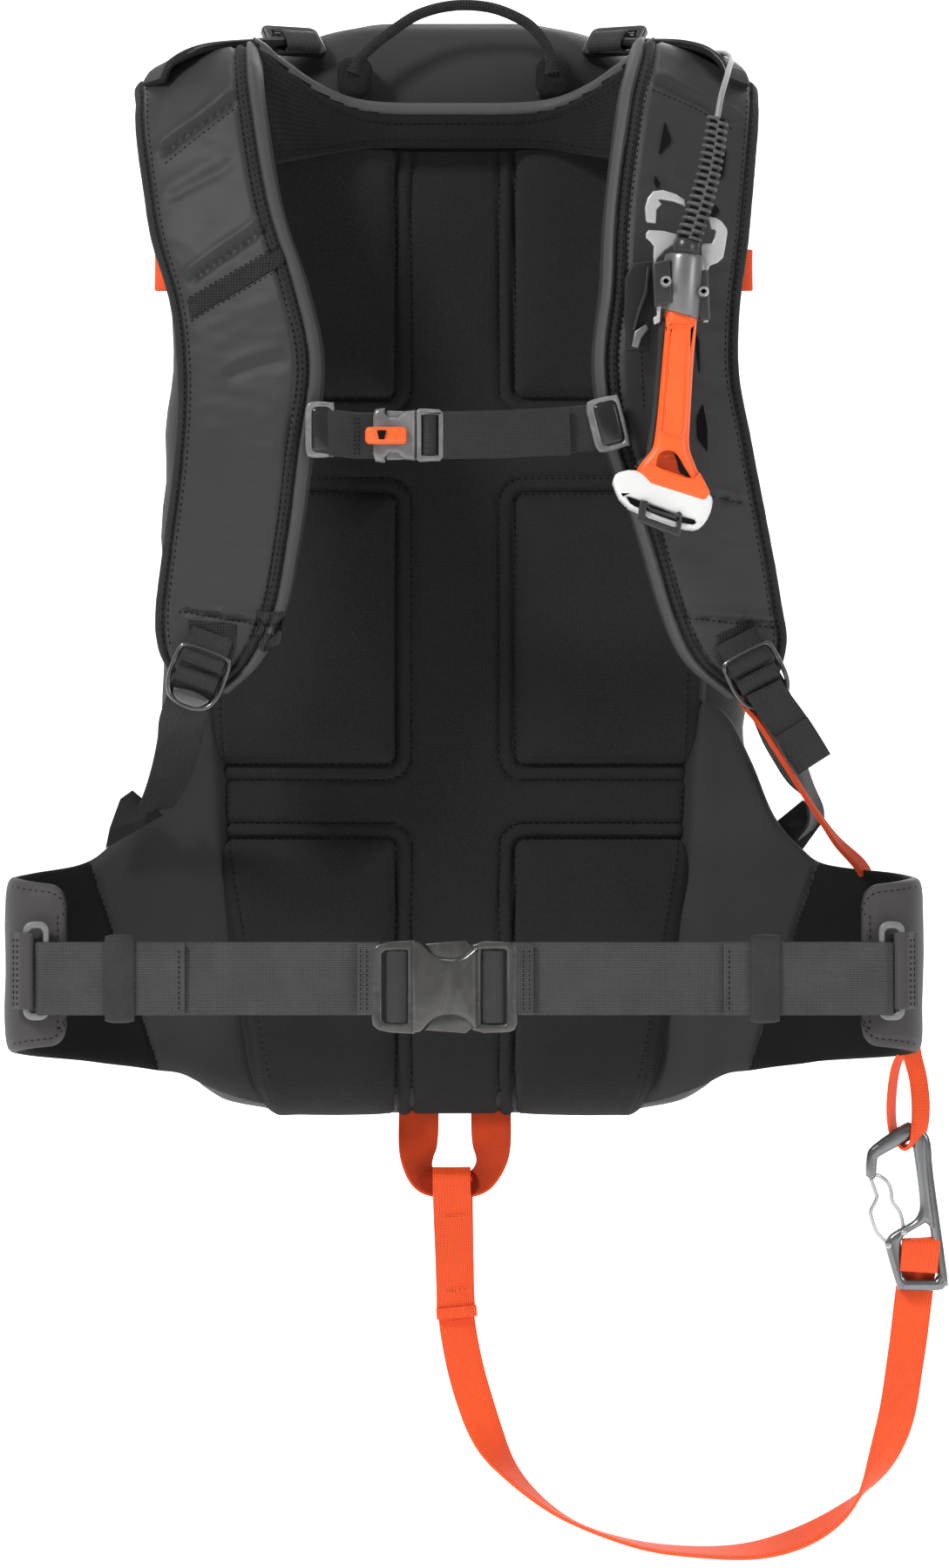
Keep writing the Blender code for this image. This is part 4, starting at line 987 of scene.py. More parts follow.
# ---------------------------------------- hip fins and patches
FIN = tenths([(1040, 130, -3760, -5900), (1180, 60, -3730, -5860), (1330, 0, -3720, -5800),
    (1470, -25, -3800, -5730), (1600, -60, -4050, -5710), (1720, -95, -4340, -5690),
    (1870, -140, -4520, -5670), (2000, -200, -4600, -5650), (2220, -380, -4640, -5620),
    (2315, -600, -4660, -5590), (2295, -800, -4665, -5570), (2200, -925, -4680, -5550),
    (2020, -975, -4700, -5530)])
FIN_COLUMNS, FIN_ROWS, TUCKED = 170, 61, 90
for name, s, shift in (("left", -1, 0.0), ("right", 1, 0.011)):
    table = [(s * (x + (shift if k > 7 else 0.0)), y, top, low) for k, (x, y, top, low) in enumerate(FIN)]
    plan = even(spline(table, 12), FIN_COLUMNS)
    left_over = np.linalg.norm(np.diff(plan[:, :2], axis=0), axis=1)[::-1].cumsum()[::-1]
    corner = unit(1 - np.append(left_over, 0) / 0.009)
    plan[:, 2] -= 0.01 * (1 - np.sqrt(1 - corner ** 2))
    plan[:, 3] += 0.01 * (1 - np.sqrt(1 - corner ** 2))
    v = np.linspace(0, 1, FIN_ROWS)
    P = np.stack([np.column_stack([plan[:, 0], plan[:, 1],
        plan[:, 3] + (plan[:, 2] - plan[:, 3]) * q]) for q in v])
    half = np.interp(P[..., 2], PANEL[:, 0], PANEL[:, 1])
    under = unit((half + 0.006 - np.abs(P[..., 0])) / 0.009)
    P[..., 1] += 0.013 * under ** 2 * (3 - 2 * under) * (np.arange(FIN_COLUMNS) < TUCKED)[None]
    high = plan[:, 2] - plan[:, 3]
    run = np.concatenate([[0], np.cumsum(np.hypot(np.diff(plan[:, 0]), np.diff(plan[:, 1])))])
    to_edge = np.minimum(v[:, None], 1 - v[:, None]) * high[None]
    to_edge = np.minimum(to_edge, (run[-1] - run)[None] + 0 * to_edge)
    puff = np.sqrt(unit(1 - (1 - unit(to_edge / 0.012)) ** 2))
    front = back = 0.0012 + 0.0034 * puff
    relief = wobble(P * np.array([1, 1, 1.4]), 0.045, 0.0017, 3 + s) + wobble(P, 0.016, 0.0005, 5)
    fold = P[..., 2] + 0.5335 + 0.1 * (np.abs(P[..., 0]) - 0.2)
    pleat = groove(fold, 0.002, 0.0028) * unit((np.abs(P[..., 0]) - 0.155) / 0.01)
    seam = np.abs(P[..., 0]) - (0.1943 + (P[..., 2] + 0.4635) * (0.1943 - 0.1592) / (0.571 - 0.4635))
    first_half = (np.arange(FIN_COLUMNS) < np.argmax(np.abs(plan[:, 0])))[None, :] & (v[:, None] > -1)
    cut = np.where(first_half, groove(seam, 0.0016, 0.0022), 0)
    front = front + (relief + pleat * 0.8 + cut) * puff
    pick = np.where(first_half & (seam < 0), 0, 1)[:-1, :-1]
    outer = np.where(first_half, 1, 2)[:-1, :-1]
    patch_edge = np.minimum(to_edge, np.where(first_half, 0,
        np.abs(run - run[np.argmax(np.abs(plan[:, 0]))])[None]))
    back = back + groove(patch_edge - 0.0042, 0.0009, 0.0008) + (relief * 0.5) * puff
    fin = slab("fin_" + name, P, front, back, ["shell", "wing", "patch"], facing=(-0.3 * s, -1, 0),
        pick=pick, behind=outer, stands_for=("hip_fin_" + name,), pad=0.7)
    tip = plan[-34:]
    loop = [(x, z) for x, y, top, low in tip for z in (top - 0.0042,)]
    loop += [(tip[-1][0] + s * 0.0042, tip[-1][2] - 0.0055 - 0.0086 * k) for k in range(8)]
    loop += [(x, low + 0.0042) for x, y, top, low in tip[::-1]]
    stitches("fin_seam_" + name, [loop], "thread", 0.0034, 0.002, 0.0004, Skin(fin))


# ---------------------------------------- hip belt: webbing, rings, keepers, buckle
BY, BZ = -0.108, -0.518


def folded(x_tail, x_bar, x_end, sign):
    """A webbing run: tail hem in front, round the ring's bar, and back behind to x_end."""
    pts = [(x_tail, BY - 0.0016, BZ), (x_tail + sign * 0.02, BY - 0.0014, BZ),
        (x_bar - sign * 0.006, BY - 0.0014, BZ)]
    for a in np.linspace(80, -80, 7):
        r = math.radians(a)
        pts.append((x_bar - sign * 0.0035 + sign * 0.0042 * math.cos(r), BY + 0.0004 - 0.0022 * math.sin(r),
            BZ))
    pts += [(x_bar - sign * 0.01, BY + 0.0014, BZ), (x_end, BY + 0.0014, BZ)]
    return pts


left_run = folded(-0.1396, -0.2165, -0.0425, -1)
left_run = left_run[:-1] + [(-0.07, BY + 0.001, BZ), (-0.045, BY + 0.0006, BZ), (-0.0385, BY - 0.0005, BZ)]
ribbon("belt_web_left", left_run, 0.038, "web", (0, 0, 1), 0.0016, stands_for=("belt_webbing_left",),
    wave=0.0002, count=90)
ribbon("belt_web_left_tail", [(-0.0385, BY - 0.0008, BZ), (-0.04, BY - 0.0034, BZ),
    (-0.044, BY - 0.003, BZ), (-0.05, BY - 0.0024, BZ)], 0.0375, "web", (0, 0, 1), 0.0018, count=14)
right_run = folded(0.1404, 0.2275, 0.036, 1)
right_run = right_run[:-1] + [(0.065, BY + 0.001, BZ), (0.038, BY + 0.0006, BZ), (0.03, BY - 0.0005, BZ)]
right_web = ribbon("belt_web_right", right_run, 0.038, "web", (0, 0, 1), 0.0016, wave=0.0002, count=90,
    body=None, stands_for=("belt_webbing_right",))
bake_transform(right_web)
ribbon("belt_web_right_tail", [(0.03, BY - 0.0008, BZ), (0.0315, BY - 0.0034, BZ), (0.0355, BY - 0.003, BZ),
    (0.0415, BY - 0.0024, BZ)], 0.0375, "web", (0, 0, 1), 0.0018, count=14, body="belt_male")
for name, body, x, s in (("left", "pack", -0.0465, -1), ("right", "belt_male", 0.038, 1)):
    stitches("belt_tack_" + name, [[(x + 0.0016 * k, BY - 0.0044, BZ - 0.016),
        (x + 0.0016 * k, BY - 0.0044, BZ + 0.016)] for k in (-1, 1)], "thread", 0.0024, 0.0018, 0.00035,
        body=body)
stitches("hem_stitch_left", [[(-0.1425, BY - 0.0027, BZ - 0.016), (-0.1425, BY - 0.0027, BZ + 0.016)]],
    "thread", 0.0026, 0.0018, 0.0004)
stitches("hem_stitch_right", [[(0.1433, BY - 0.0027, BZ - 0.016), (0.1433, BY - 0.0027, BZ + 0.016)]],
    "thread", 0.0026, 0.0018, 0.0004)
for name, x, s in (("left", -0.2205, -1), ("right", 0.2315, 1)):
    ring_turn = Matrix.Rotation(math.pi / 2, 4, "X")
    plate("ring_frame_" + name, rounded(-s * 0.0035, 0.004, 0.0135, 0.0515, 0.005),
        [rounded(-s * 0.0035, 0.004, 0.007, 0.044, 0.0025, 3)], 0.0042, "ring", (x, -0.1065, -0.518),
        soft=0.0014, body="ring_" + name, turn=ring_turn, stands_for=("belt_ring_" + name,), res=3)
    ribbon("ring_loop_" + name, [(x + s * 0.01, -0.0985, -0.514), (x + s * 0.0075, -0.102, -0.514),
        (x + s * 0.004, -0.1085, -0.514), (x + s * 0.0005, -0.11, -0.514), (x - s * 0.0015, -0.108, -0.514),
        (x - s * 0.0008, -0.103, -0.514), (x + s * 0.002, -0.0985, -0.514)], 0.04, "patch", (0, 0, 1),
        0.0016, count=30)
    stitches("ring_tack_" + name, [[(x + s * (0.0065 + 0.0022 * j), -0.1062 + 0.0035 * j, -0.532),
        (x + s * (0.0065 + 0.0022 * j), -0.1062 + 0.0035 * j, -0.496)] for j in (0, 1)], "thread", 0.003,
        0.002, 0.0004)
for name, cx, s in (("left", -0.1735, -1), ("right", 0.162, 1)):
    body = "keeper_" + name
    rings = []
    for x in np.linspace(-0.0075, 0.0075, 7):
        soft = 0.001 * (abs(x) / 0.0075) ** 4
        ring = []
        for y, z in rounded(0, 0, 0.0094 - soft, 0.046 - 2 * soft, 0.003, 6):
            ring.append((cx + x, BY + y, BZ + z))
        rings.append(ring)
    loft("keeper_band_" + name, rings, "web_grey", body, ("belt_keeper_" + name,), sharp=50)

BUCKLE_AT = (0, BY - 0.0006, BZ - 0.0042)


def mirrored(half):
    """A closed outline from its upper half, which runs in x."""
    return [*half, *((x, -z) for x, z in half[::-1])][::-1]


def roll(name, x, wide, y, z, high, slot, body="pack"):
    """The webbing round a buckle's bar, seen through its slot."""
    ends = [(x + wide * math.cos(w), y + 0.0028 * math.sin(w), z) for w in np.linspace(0, 2 * math.pi, 15)]
    ribbon(name, ends, high, slot, (0, 0, 1), 0.0016, body=body, count=36, smooth=2)


plate("buckle_female_frame", mirrored(tenths([(-424, 165), (-417, 200), (-390, 222), (-330, 236),
    (-200, 243)])), [mirrored(tenths([(-372, 170), (-354, 188), (-238, 190)]))], 0.0078, "buckle",
    BUCKLE_AT, soft=0.0012, stands_for=("belt_buckle_female",), res=3)
waist = spline(tenths([(-173, 232), (-125, 186), (-78, 156), (-10, 147), (44, 158), (85, 188), (128, 226)]),
    3).tolist()
plate("buckle_female_body", mirrored([(-0.0222, 0.0243), *map(tuple, waist)]), [], 0.0112, "buckle",
    BUCKLE_AT, soft=0.003, res=4)
plate("buckle_male_frame", mirrored(tenths([(98, 222), (160, 240), (290, 234), (318, 222), (332, 190)])),
    [mirrored(tenths([(144, 194), (268, 194), (276, 185)]))], 0.0078, "buckle", BUCKLE_AT, soft=0.0016,
    body="belt_male", stands_for=("belt_buckle_male",), res=3)
for k in (-1, 1):
    prong = [(-0.015, k * 0.0225), (0.0065, k * 0.0241), (0.0083, k * 0.0222), (0.015, k * 0.02),
        (0.015, k * 0.012), (-0.0078, k * 0.012)]
    plate("buckle_prong_%s" % ("low" if k < 0 else "high"), prong[::-k], [], 0.005, "buckle",
        (0, BUCKLE_AT[1] + 0.0006, BUCKLE_AT[2]), soft=0.0012, body="belt_male")
roll("belt_roll_left", -0.0292, 0.005, BY - 0.0016, BUCKLE_AT[2], 0.0376, "web_grey")
roll("belt_roll_right", 0.0208, 0.005, BY - 0.0016, BUCKLE_AT[2], 0.0376, "web_grey", body="belt_male")

# ---------------------------------------- sternum strap
SY, SZ = -0.1315, -0.237


def side_clip(name, x, z, w, h, lean, stands_for=()):
    """A clip on the strap's edge: a thin light frame round a black body with a fold in it."""
    frame_out = [(-w * 0.5, h * 0.3), (-w * 0.42, h * 0.47), (-w * 0.1, h * 0.5), (w * 0.38, h * 0.48),
        (w * 0.5, h * 0.4), (w * 0.5, -h * 0.4), (w * 0.38, -h * 0.48), (-w * 0.1, -h * 0.5),
        (-w * 0.42, -h * 0.47), (-w * 0.5, -h * 0.3)]
    plate(name, [tuple(p) for p in spline(frame_out, 2)],
        [rounded(w * 0.06, 0, w * 0.66, h * 0.8, 0.003, 4)], 0.0052, "buckle_light", (x, SY + 0.0005, z),
        lean=lean, soft=0.0014, body="sternum_strap", stands_for=stands_for, res=3)
    cushion_plate(name + "_core", rounded(w * 0.04, 0, w * 0.72, h * 0.84, 0.003),
        tenths([(0, -30), (0, 6), (8, 16), (22, 22)]), "black", (x, SY + 0.0005, z), lean=lean,
        body="sternum_strap", shape=lambda a, c: 0.0012 * (1 - abs(c) / (h * 0.5)))


side_clip("clip_left", -0.0687, -0.234, 0.015, 0.029, 0.0, ("sternum_slider_left",))
side_clip("clip_right", 0.0795, -0.231, 0.018, 0.028, math.radians(14), ("sternum_slider_right",))
ribbon("sternum_web_left", [(-0.07, SY - 0.0005, SZ + 0.002), (-0.06, SY - 0.0012, SZ + 0.001),
    (-0.05, SY, SZ), (-0.0405, SY, SZ)], 0.024, "web_dark", (0, 0, 1), 0.0022, body="sternum_strap",
    stands_for=("sternum_webbing_left",))
stitches("sternum_tack", [[(-0.0505, SY - 0.0022, SZ - 0.01), (-0.0505, SY - 0.0022, SZ + 0.01)],
    [(-0.0485, SY - 0.002, SZ - 0.01), (-0.0485, SY - 0.002, SZ + 0.01)]], "thread", 0.0022, 0.0017, 0.0004,
    body="sternum_strap")
sternum_run = [(-0.0135, SY + 0.0016, SZ), (-0.002, SY + 0.0006, SZ), (0.025, SY - 0.0008, SZ + 0.0006),
    (0.04, SY - 0.0002, SZ + 0.0014), (0.056, SY, SZ + 0.0026), (0.07, SY + 0.0004, SZ + 0.004),
    (0.0765, SY + 0.0012, SZ + 0.0045)]
web = ribbon("sternum_web_right", sternum_run, 0.024, "web_dark", (0, 0, 1), 0.0018, body=None, wave=0.0003,
    stands_for=("sternum_webbing_right",))
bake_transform(web)
web = ribbon("sternum_web_fold", [(0.0603, SY - 0.004, SZ + 0.002), (0.04, SY - 0.004, SZ + 0.0012),
    (0.025, SY - 0.004, SZ + 0.0004), (0.005, SY - 0.0036, SZ), (-0.006, SY - 0.0024, SZ)], 0.0246,
    "web_dark", (0.02, 0, 1), 0.0018, body=None, wave=0.0004, seed=5)
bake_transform(web)
plate("sternum_female", mirrored(tenths([(-413, 98), (-400, 134), (-350, 142), (-352, 112), (-330, 90),
    (-285, 92), (-252, 124), (-193, 130)])), [], 0.009, "buckle_light", (0, SY, SZ), soft=0.0022,
    body="sternum_strap", stands_for=("sternum_buckle_female",), res=4)
plate("sternum_male_body", mirrored(tenths([(-189, 128), (-172, 138), (-68, 132), (-50, 112)])),
    [mirrored([(-0.0163, 0.0104), (-0.0076, 0.0104)])], 0.0064, "buckle_light", (0, SY - 0.001, SZ),
    soft=0.0011, body="sternum_male", stands_for=("sternum_buckle_male",), res=3)
for k in (-1, 1):
    prong = [(-0.018, k * 0.0122), (-0.034, k * 0.0128), (-0.0352, k * 0.0112), (-0.033, k * 0.007),
        (-0.018, k * 0.007)]
    plate("sternum_prong_%s" % ("low" if k < 0 else "high"), prong[::k], [], 0.004, "buckle_light",
        (0, SY + 0.0006, SZ), soft=0.001, body="sternum_male")
roll("sternum_roll", -0.012, 0.0034, SY - 0.0014, SZ, 0.0205, "web_dark", body="sternum_male")
whistle = rounded(-0.0345, -0.2375 - SZ, 0.0215, 0.0088, 0.0024, 5)
cushion_plate("whistle_body", whistle, tenths([(16, -30), (3, -22), (0, -10), (0, 16), (8, 30), (22, 36)]),
    "orange_plastic", (0, SY - 0.0072, SZ), body="sternum_strap", stands_for=("whistle",))
# The whistle's window is a near-black plate: painted shadow in the opening.
cushion_plate("whistle_window", tenths([(-366, 18), (-356, -28), (-328, -28), (-318, 18)])[::-1],
    [(0.0, 0.0), (0.0, 0.0012)], "void", (-0.0025, SY - 0.0106, SZ + 0.0002), body="sternum_strap")


# ---------------------------------------- ladder locks and lower webbings
def lock_piece(name, x, tilt, run, run_sides, turn_over):
    """One ladder lock with its webbing: returns the lock's own axes for the tail."""
    body = "lock_" + name
    lean = math.radians(tilt)
    bar = Vector((x, -0.0965, -0.3635)) + 0.016 * Vector((-math.sin(lean), 0, math.cos(lean)))
    turn = Matrix.Rotation(-lean, 4, "Y") @ Matrix.Rotation(math.pi / 2, 4, "X")
    down, front, side = (turn @ Vector(v) for v in ((0, -1, 0), (0, 0, 1), (1, 0, 0)))

    def local(q, low, up):
        return tuple(bar + side * q + down * low + front * up)

    half = tenths([(148, -15), (154, -110), (147, -200), (114, -272), (54, -303)])
    ring = [(-q, w) for q, w in half] + [(0.0, -0.031)] + half[::-1] + tenths([(122, 20), (0, 27),
        (-122, 20)])
    shape = spline([*ring, ring[0]], 3)[:-1]
    inner = [(p[0] * 0.84, (p[1] + 0.0141) * 0.86 - 0.0141) for p in shape]
    plate("lock_frame_" + name, [tuple(p) for p in shape], [inner[::-1]], 0.0054, "lock", bar, soft=0.0016,
        body=body, turn=turn, stands_for=("ladder_lock_" + name,), res=3)
    lip = tenths([(-100, -222), (-90, -258), (-52, -287), (0, -292), (52, -287), (90, -258), (100, -222),
        (0, -206)])
    plate("lock_lip_" + name, [tuple(p) for p in spline([*lip, lip[0]], 3)[:-1]], [], 0.004, "lock",
        bar + front * 0.0006, soft=0.0014, body=body, turn=turn, res=3)
    for k, (low, tall, thick) in enumerate(((0.0044, 0.0076, 0.005), (0.0142, 0.008, 0.0056))):
        ends = [(low + 0.5 * tall * math.cos(w), 0.0012 + 0.5 * thick * math.sin(w)) for w in np.linspace(0,
            2 * math.pi, 15)]
        ribbon("lock_roll_%s_%d" % (name, k), [local(0, low_, up_) for low_, up_ in ends], 0.0228,
            "web_dark", tuple(side), 0.0016, body=body, count=40, smooth=2)
    ribbon("lock_hang_" + name, [local(0, -0.011, -0.0016), local(0, -0.005, -0.0004),
        local(0, 0.001, 0.0016), local(0, 0.004, 0.0)], 0.0228, "web_dark", tuple(side), 0.0016, count=16)
    path = [local(0, 0.017, 0.0), local(0, 0.025, -0.0025), *run]
    web = ribbon("lower_web_" + name, path, 0.0235, "web_dark", [tuple(side), tuple(side), *run_sides],
        0.0017, body=None, stands_for=("lower_webbing_" + name,), wave=0.0003, seed=7)
    tuple(path[turn_over])
    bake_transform(web)
    return local, side


lock_piece("left", -0.1347, -20, tenths([(-1425, -880, -3844), (-1441, -750, -3939), (-1484, -560, -4076),
    (-1533, -420, -4191), (-1596, -290, -4308)]), [(1, 0, -0.05), (1, 0, 0.02), (1, 0.05, 0.12),
    (0.95, 0.1, 0.3), (0.85, 0.1, 0.5)], 5)
local, side = lock_piece("right", 0.16, 28, tenths([(1725, -700, -3880), (1785, -460, -3970),
    (1835, -270, -4075), (1880, -170, -4150), (1919, -120, -4250), (1935, -60, -4335), (1920, 30, -4420)]),
    [(0.9, 0.25, 0.36), (0.7, 0.5, 0.3), (0.4, 0.85, 0.2), (0.3, 0.94, 0.12), (0.28, 0.95, 0.12),
    (0.34, 0.92, 0.16), (0.6, 0.75, 0.2)], 4)
tail = [local(0.0003, 0.02, 0.0026), local(0.0003, 0.0262, 0.006), (0.1752, -0.1045, -0.3864),
    (0.1815, -0.104, -0.3965), (0.1879, -0.1015, -0.4064)]
ribbon("lock_tail_right", tail, 0.02, "web_dark", [tuple(side), tuple(side), (0.9, 0, 0.44), (0.9, 0, 0.44),
    (0.9, 0, 0.44)], 0.0024, body="lock_right")
ribbon("lock_tail_hem", tenths([(1757, -1068, -3872), (1815, -1066, -3962), (1877, -1038, -4062)]), 0.0202,
    "web_dark", (0.9, 0, 0.44), 0.0018, body="lock_right")
plate("anchor_flap_left", tenths([(-1717, -4201), (-1554, -4336), (-1861, -4512), (-1838, -4401),
    (-1782, -4247)]), [], 0.0026, "web_dark", (0, -0.0295, 0), soft=0.001)
plate("anchor_flap_right", tenths([(1680, -4420), (1764, -4352), (1885, -4253), (1985, -4383),
    (1889, -4515), (1830, -4596)]), [], 0.0026, "web_dark", (0, 0.006, 0), soft=0.001)


# ---------------------------------------- orange harness webbing, side tabs, gear loop
# The harness webbing takes the darker orange copy: painted shade.
ribbon("harness_web", tenths([(1477, -700, -3661), (1535, -880, -3769), (1591, -980, -3847),
    (1672, -1030, -3976), (1758, -1030, -4111), (1839, -920, -4230), (1930, -720, -4351),
    (2033, -460, -4473), (2140, -345, -4575), (2204, -240, -4651), (2235, -185, -4738)]), 0.012,
    "orange_shade", [(0.1, 0.99, 0.07)] * 5 + [(0.0, 0.97, 0.2), (-0.08, 0.93, 0.34), (-0.02, 0.89, 0.44),
    (0.11, 0.83, 0.55), (0.25, 0.75, 0.6), (0.33, 0.66, 0.67)], 0.0024,
    stands_for=("harness_webbing_right",))
for name, s, x in (("left", -1, -0.1585), ("right", 1, 0.1575)):
    ribbon("tab_" + name, [(x - s * 0.012, 0.0705, -0.133), (x - s * 0.001, 0.069, -0.133),
        (x + s * 0.0055, 0.07, -0.133), (x + s * 0.0052, 0.0735, -0.133), (x - s * 0.003, 0.074, -0.133),
        (x - s * 0.013, 0.073, -0.133)], 0.023, "orange", (0, 0.1, 1), 0.0018, count=34,
        stands_for=("side_tab_" + name,))
gear = tenths([(2412, -440, -5502), (2392, -405, -5587), (2352, -380, -5681), (2330, -370, -5862),
    (2340, -355, -6010), (2378, -380, -6080), (2424, -420, -6096), (2466, -455, -6030), (2480, -460, -5890),
    (2466, -455, -5733), (2434, -450, -5603), (2425, -450, -5501)])
ribbon("gear_loop_web", gear, 0.0105, "orange", [(0.5, 0.85, 0.1), (0.45, 0.88, 0.1), (0.4, 0.9, 0),
    (0.4, 0.9, 0), (0.35, 0.9, 0.2), (0.2, 0.95, 0.1), (0.25, 0.95, 0.15), (0.75, 0.6, 0.2), (0.9, 0.42, 0),
    (0.9, 0.42, -0.1), (0.9, 0.3, -0.2), (0.9, 0.3, -0.2)], 0.002, stands_for=("gear_loop",), count=80)


# ---------------------------------------- trigger: cable, boot, hooks, clamp, handle
TY = -0.143
cable_path = even(spline(tenths([(1358, -1398, -745), (1385, -1260, -610), (1432, -980, -455),
    (1462, -640, -325), (1390, -250, -262), (1270, 120, -310), (1240, 400, -420)]), 8), 60)
cable = tube("trigger_line", cable_path, 0.0015, "cable", 16, stands_for=("trigger_cable",))
length_of(cable_path)
a, b = np.array((0.1362, -0.14, -0.074)), np.array((0.1206, -0.143, -0.1372))
BOOT_ROWS, BOOT_SIDES, BOOT_RIBS = 190, 28, 17
ts = np.linspace(0, 1, BOOT_ROWS)
line = a + (b - a) * ts[:, None] + np.array([0.0022, 0, 0]) * np.sin(ts * math.pi)[:, None]
verts, uvs, rib_groove_painted_shade = [], [], []
along = (b - a) / np.linalg.norm(b - a)
over = np.cross(along, (0, 1, 0))
over /= np.linalg.norm(over)
for k, t in enumerate(ts):
    for j in range(BOOT_SIDES):
        w = 2 * math.pi * j / BOOT_SIDES
        wave = math.sin(2 * math.pi * (BOOT_RIBS * t + (0.5 if math.cos(w) > 0 else 0.0)))
        rib = 0.001 * (1 if wave > 0 else -1) * min(1.0, abs(wave) * 3) * min(1.0, abs(math.cos(w)) * 2.4)
        r = (0.0047 + 0.0013 * t + rib) * (1.0 if 0 < k < BOOT_ROWS - 1 else 0.5)
        verts.append(line[k] + over * r * math.cos(w) + np.array((0, 1, 0)) * r * math.sin(w))
        uvs.append((w * 0.005, t * 0.065))
        # Faces deep in the rib grooves get the near-black slot: painted shade in the grooves.
        rib_groove_painted_shade.append(int(rib < -0.0004 and abs(math.cos(w)) > 0.2))
faces = between(BOOT_ROWS - 1, BOOT_SIDES)
last = (BOOT_ROWS - 1) * BOOT_SIDES
faces += [tuple(range(BOOT_SIDES))[::-1], tuple(range(last, last + BOOT_SIDES))]
build("boot", verts, faces, ["rubber", "void"], uvs=uvs, picks=rib_groove_painted_shade[:last] + [0, 0],
    stands_for=("cable_boot",), sharp=32)
tube("collar", [(0.1202, TY, -0.1368), (0.12, TY, -0.138), (0.1199, TY, -0.1405), (0.1197, TY, -0.144),
    (0.1196, TY, -0.1452)], [0.0056, 0.0066, 0.007, 0.007, 0.0064], "clamp", 24,
    stands_for=("trigger_collar",))
axis = np.array([0.075, 0, 1.0])
axis /= np.linalg.norm(axis)
centre = np.array((0.118, TY, -0.1615))
rings = []
for t0, r in tenths([(-146, 94), (-142, 102), (-130, 105), (0, 105), (140, 106), (158, 101), (166, 88),
        (168, 60)]):
    ring = []
    for k in range(40):
        w = 2 * math.pi * k / 40
        tiltz = -0.002 * math.cos(w) * (1 if t0 < -0.01 else 0)
        p = centre + axis * (t0 + tiltz) + np.array([math.cos(w) * r, math.sin(w) * r * 1.1,
            -0.075 * math.cos(w) * r])
        ring.append(tuple(p))
    rings.append(ring)
loft("clamp_body", rings, "clamp_bright", "pack", ("trigger_clamp",), sharp=30)
for name, at, r in (("upper", (0.1089, -0.1562, -0.1597), 0.003),
        ("lower", (0.1282, -0.1528, -0.1646), 0.0028)):
    q = [(at[0], at[1] + d, at[2]) for d in (0.006, 0.001, -0.0006, -0.0016, -0.0016, -0.0006, 0.001)]
    tube("rivet_" + name, q, [r, r, r * 0.98, r * 0.8, r * 0.45, r * 0.42, r * 0.42], "steel", 20,
        stands_for=("trigger_rivet_" + name,), sharp=40)
plate("clamp_flange", tenths([(1020, -1500), (1110, -1480), (1125, -1700), (1030, -1730)]), [], 0.004,
    "clamp", (0, -0.152, 0), soft=0.0012, res=3)
plate("clamp_flange_right", tenths([(1255, -1535), (1305, -1530), (1318, -1785), (1262, -1795)]), [], 0.004,
    "clamp", (0, -0.147, 0), soft=0.0012, res=3)
plate("bracket_back", tenths([(900, -1935), (1010, -1935), (1040, -1700), (1050, -1470), (925, -1480),
    (885, -1560), (880, -1750)]), [], 0.0046, "black_matt", (0, -0.132, 0), soft=0.0012,
    stands_for=("trigger_bracket",), res=3)


def upright(name, outline, y, thick, slot, holes=(), soft=0.0013, stands_for=(), body="pack", smooth=0):
    """A flat piece with its outline given as (x, z) in the shared frame, standing at depth y."""
    if smooth:
        outline = [tuple(p) for p in spline([*outline, outline[0]], smooth)[:-1]]
    return plate(name, outline, list(holes), thick, slot, (0, y, 0), soft=soft, body=body,
        stands_for=stands_for, res=3)


upright("hook_upper", tenths([(991, -1266), (986, -1201), (1000, -1153), (1028, -1119), (1078, -1113),
    (1145, -1133), (1191, -1163), (1195, -1197), (1135, -1173), (1066, -1161), (1056, -1165), (1072, -1185),
    (1046, -1213), (1042, -1284), (998, -1280)]), -0.139, 0.0036, "silver", soft=0.001,
    stands_for=("trigger_hook_plate",))
upright("hook_lower", tenths([(991, -1335), (1006, -1316), (1086, -1322), (1153, -1340), (1153, -1360),
    (1135, -1394), (1090, -1424), (1054, -1462), (1034, -1498), (1030, -1450), (1032, -1400), (1014, -1376),
    (992, -1358)]), -0.1375, 0.0036, "silver", soft=0.0009)
upright("hook_right", tenths([(1307, -1251), (1352, -1257), (1382, -1278), (1406, -1310), (1410, -1332),
    (1400, -1400), (1388, -1460), (1360, -1486), (1319, -1502), (1307, -1534), (1311, -1793), (1285, -1793),
    (1285, -1609), (1287, -1505), (1271, -1482), (1271, -1400), (1285, -1388), (1331, -1386), (1342, -1360),
    (1350, -1326), (1340, -1316), (1325, -1316), (1315, -1280)]), -0.14, 0.004, "silver", soft=0.0009)
upright("bracket_edge", tenths([(998, -1500), (1010, -1505), (1000, -1640), (962, -1740), (935, -1835),
    (924, -1825), (950, -1722), (985, -1625)]), -0.1365, 0.0036, "clamp", soft=0.0006)
upright("bracket_hook", tenths([(1040, -1690), (1066, -1700), (1060, -1800), (1030, -1815), (1025, -1780),
    (1045, -1765)]), -0.15, 0.003, "silver", soft=0.0006)
upright("bracket_fold", tenths([(935, -1835), (918, -1916), (953, -1925), (971, -1871), (1007, -1826),
    (994, -1799)]), -0.1365, 0.0036, "clamp_bright", soft=0.001)

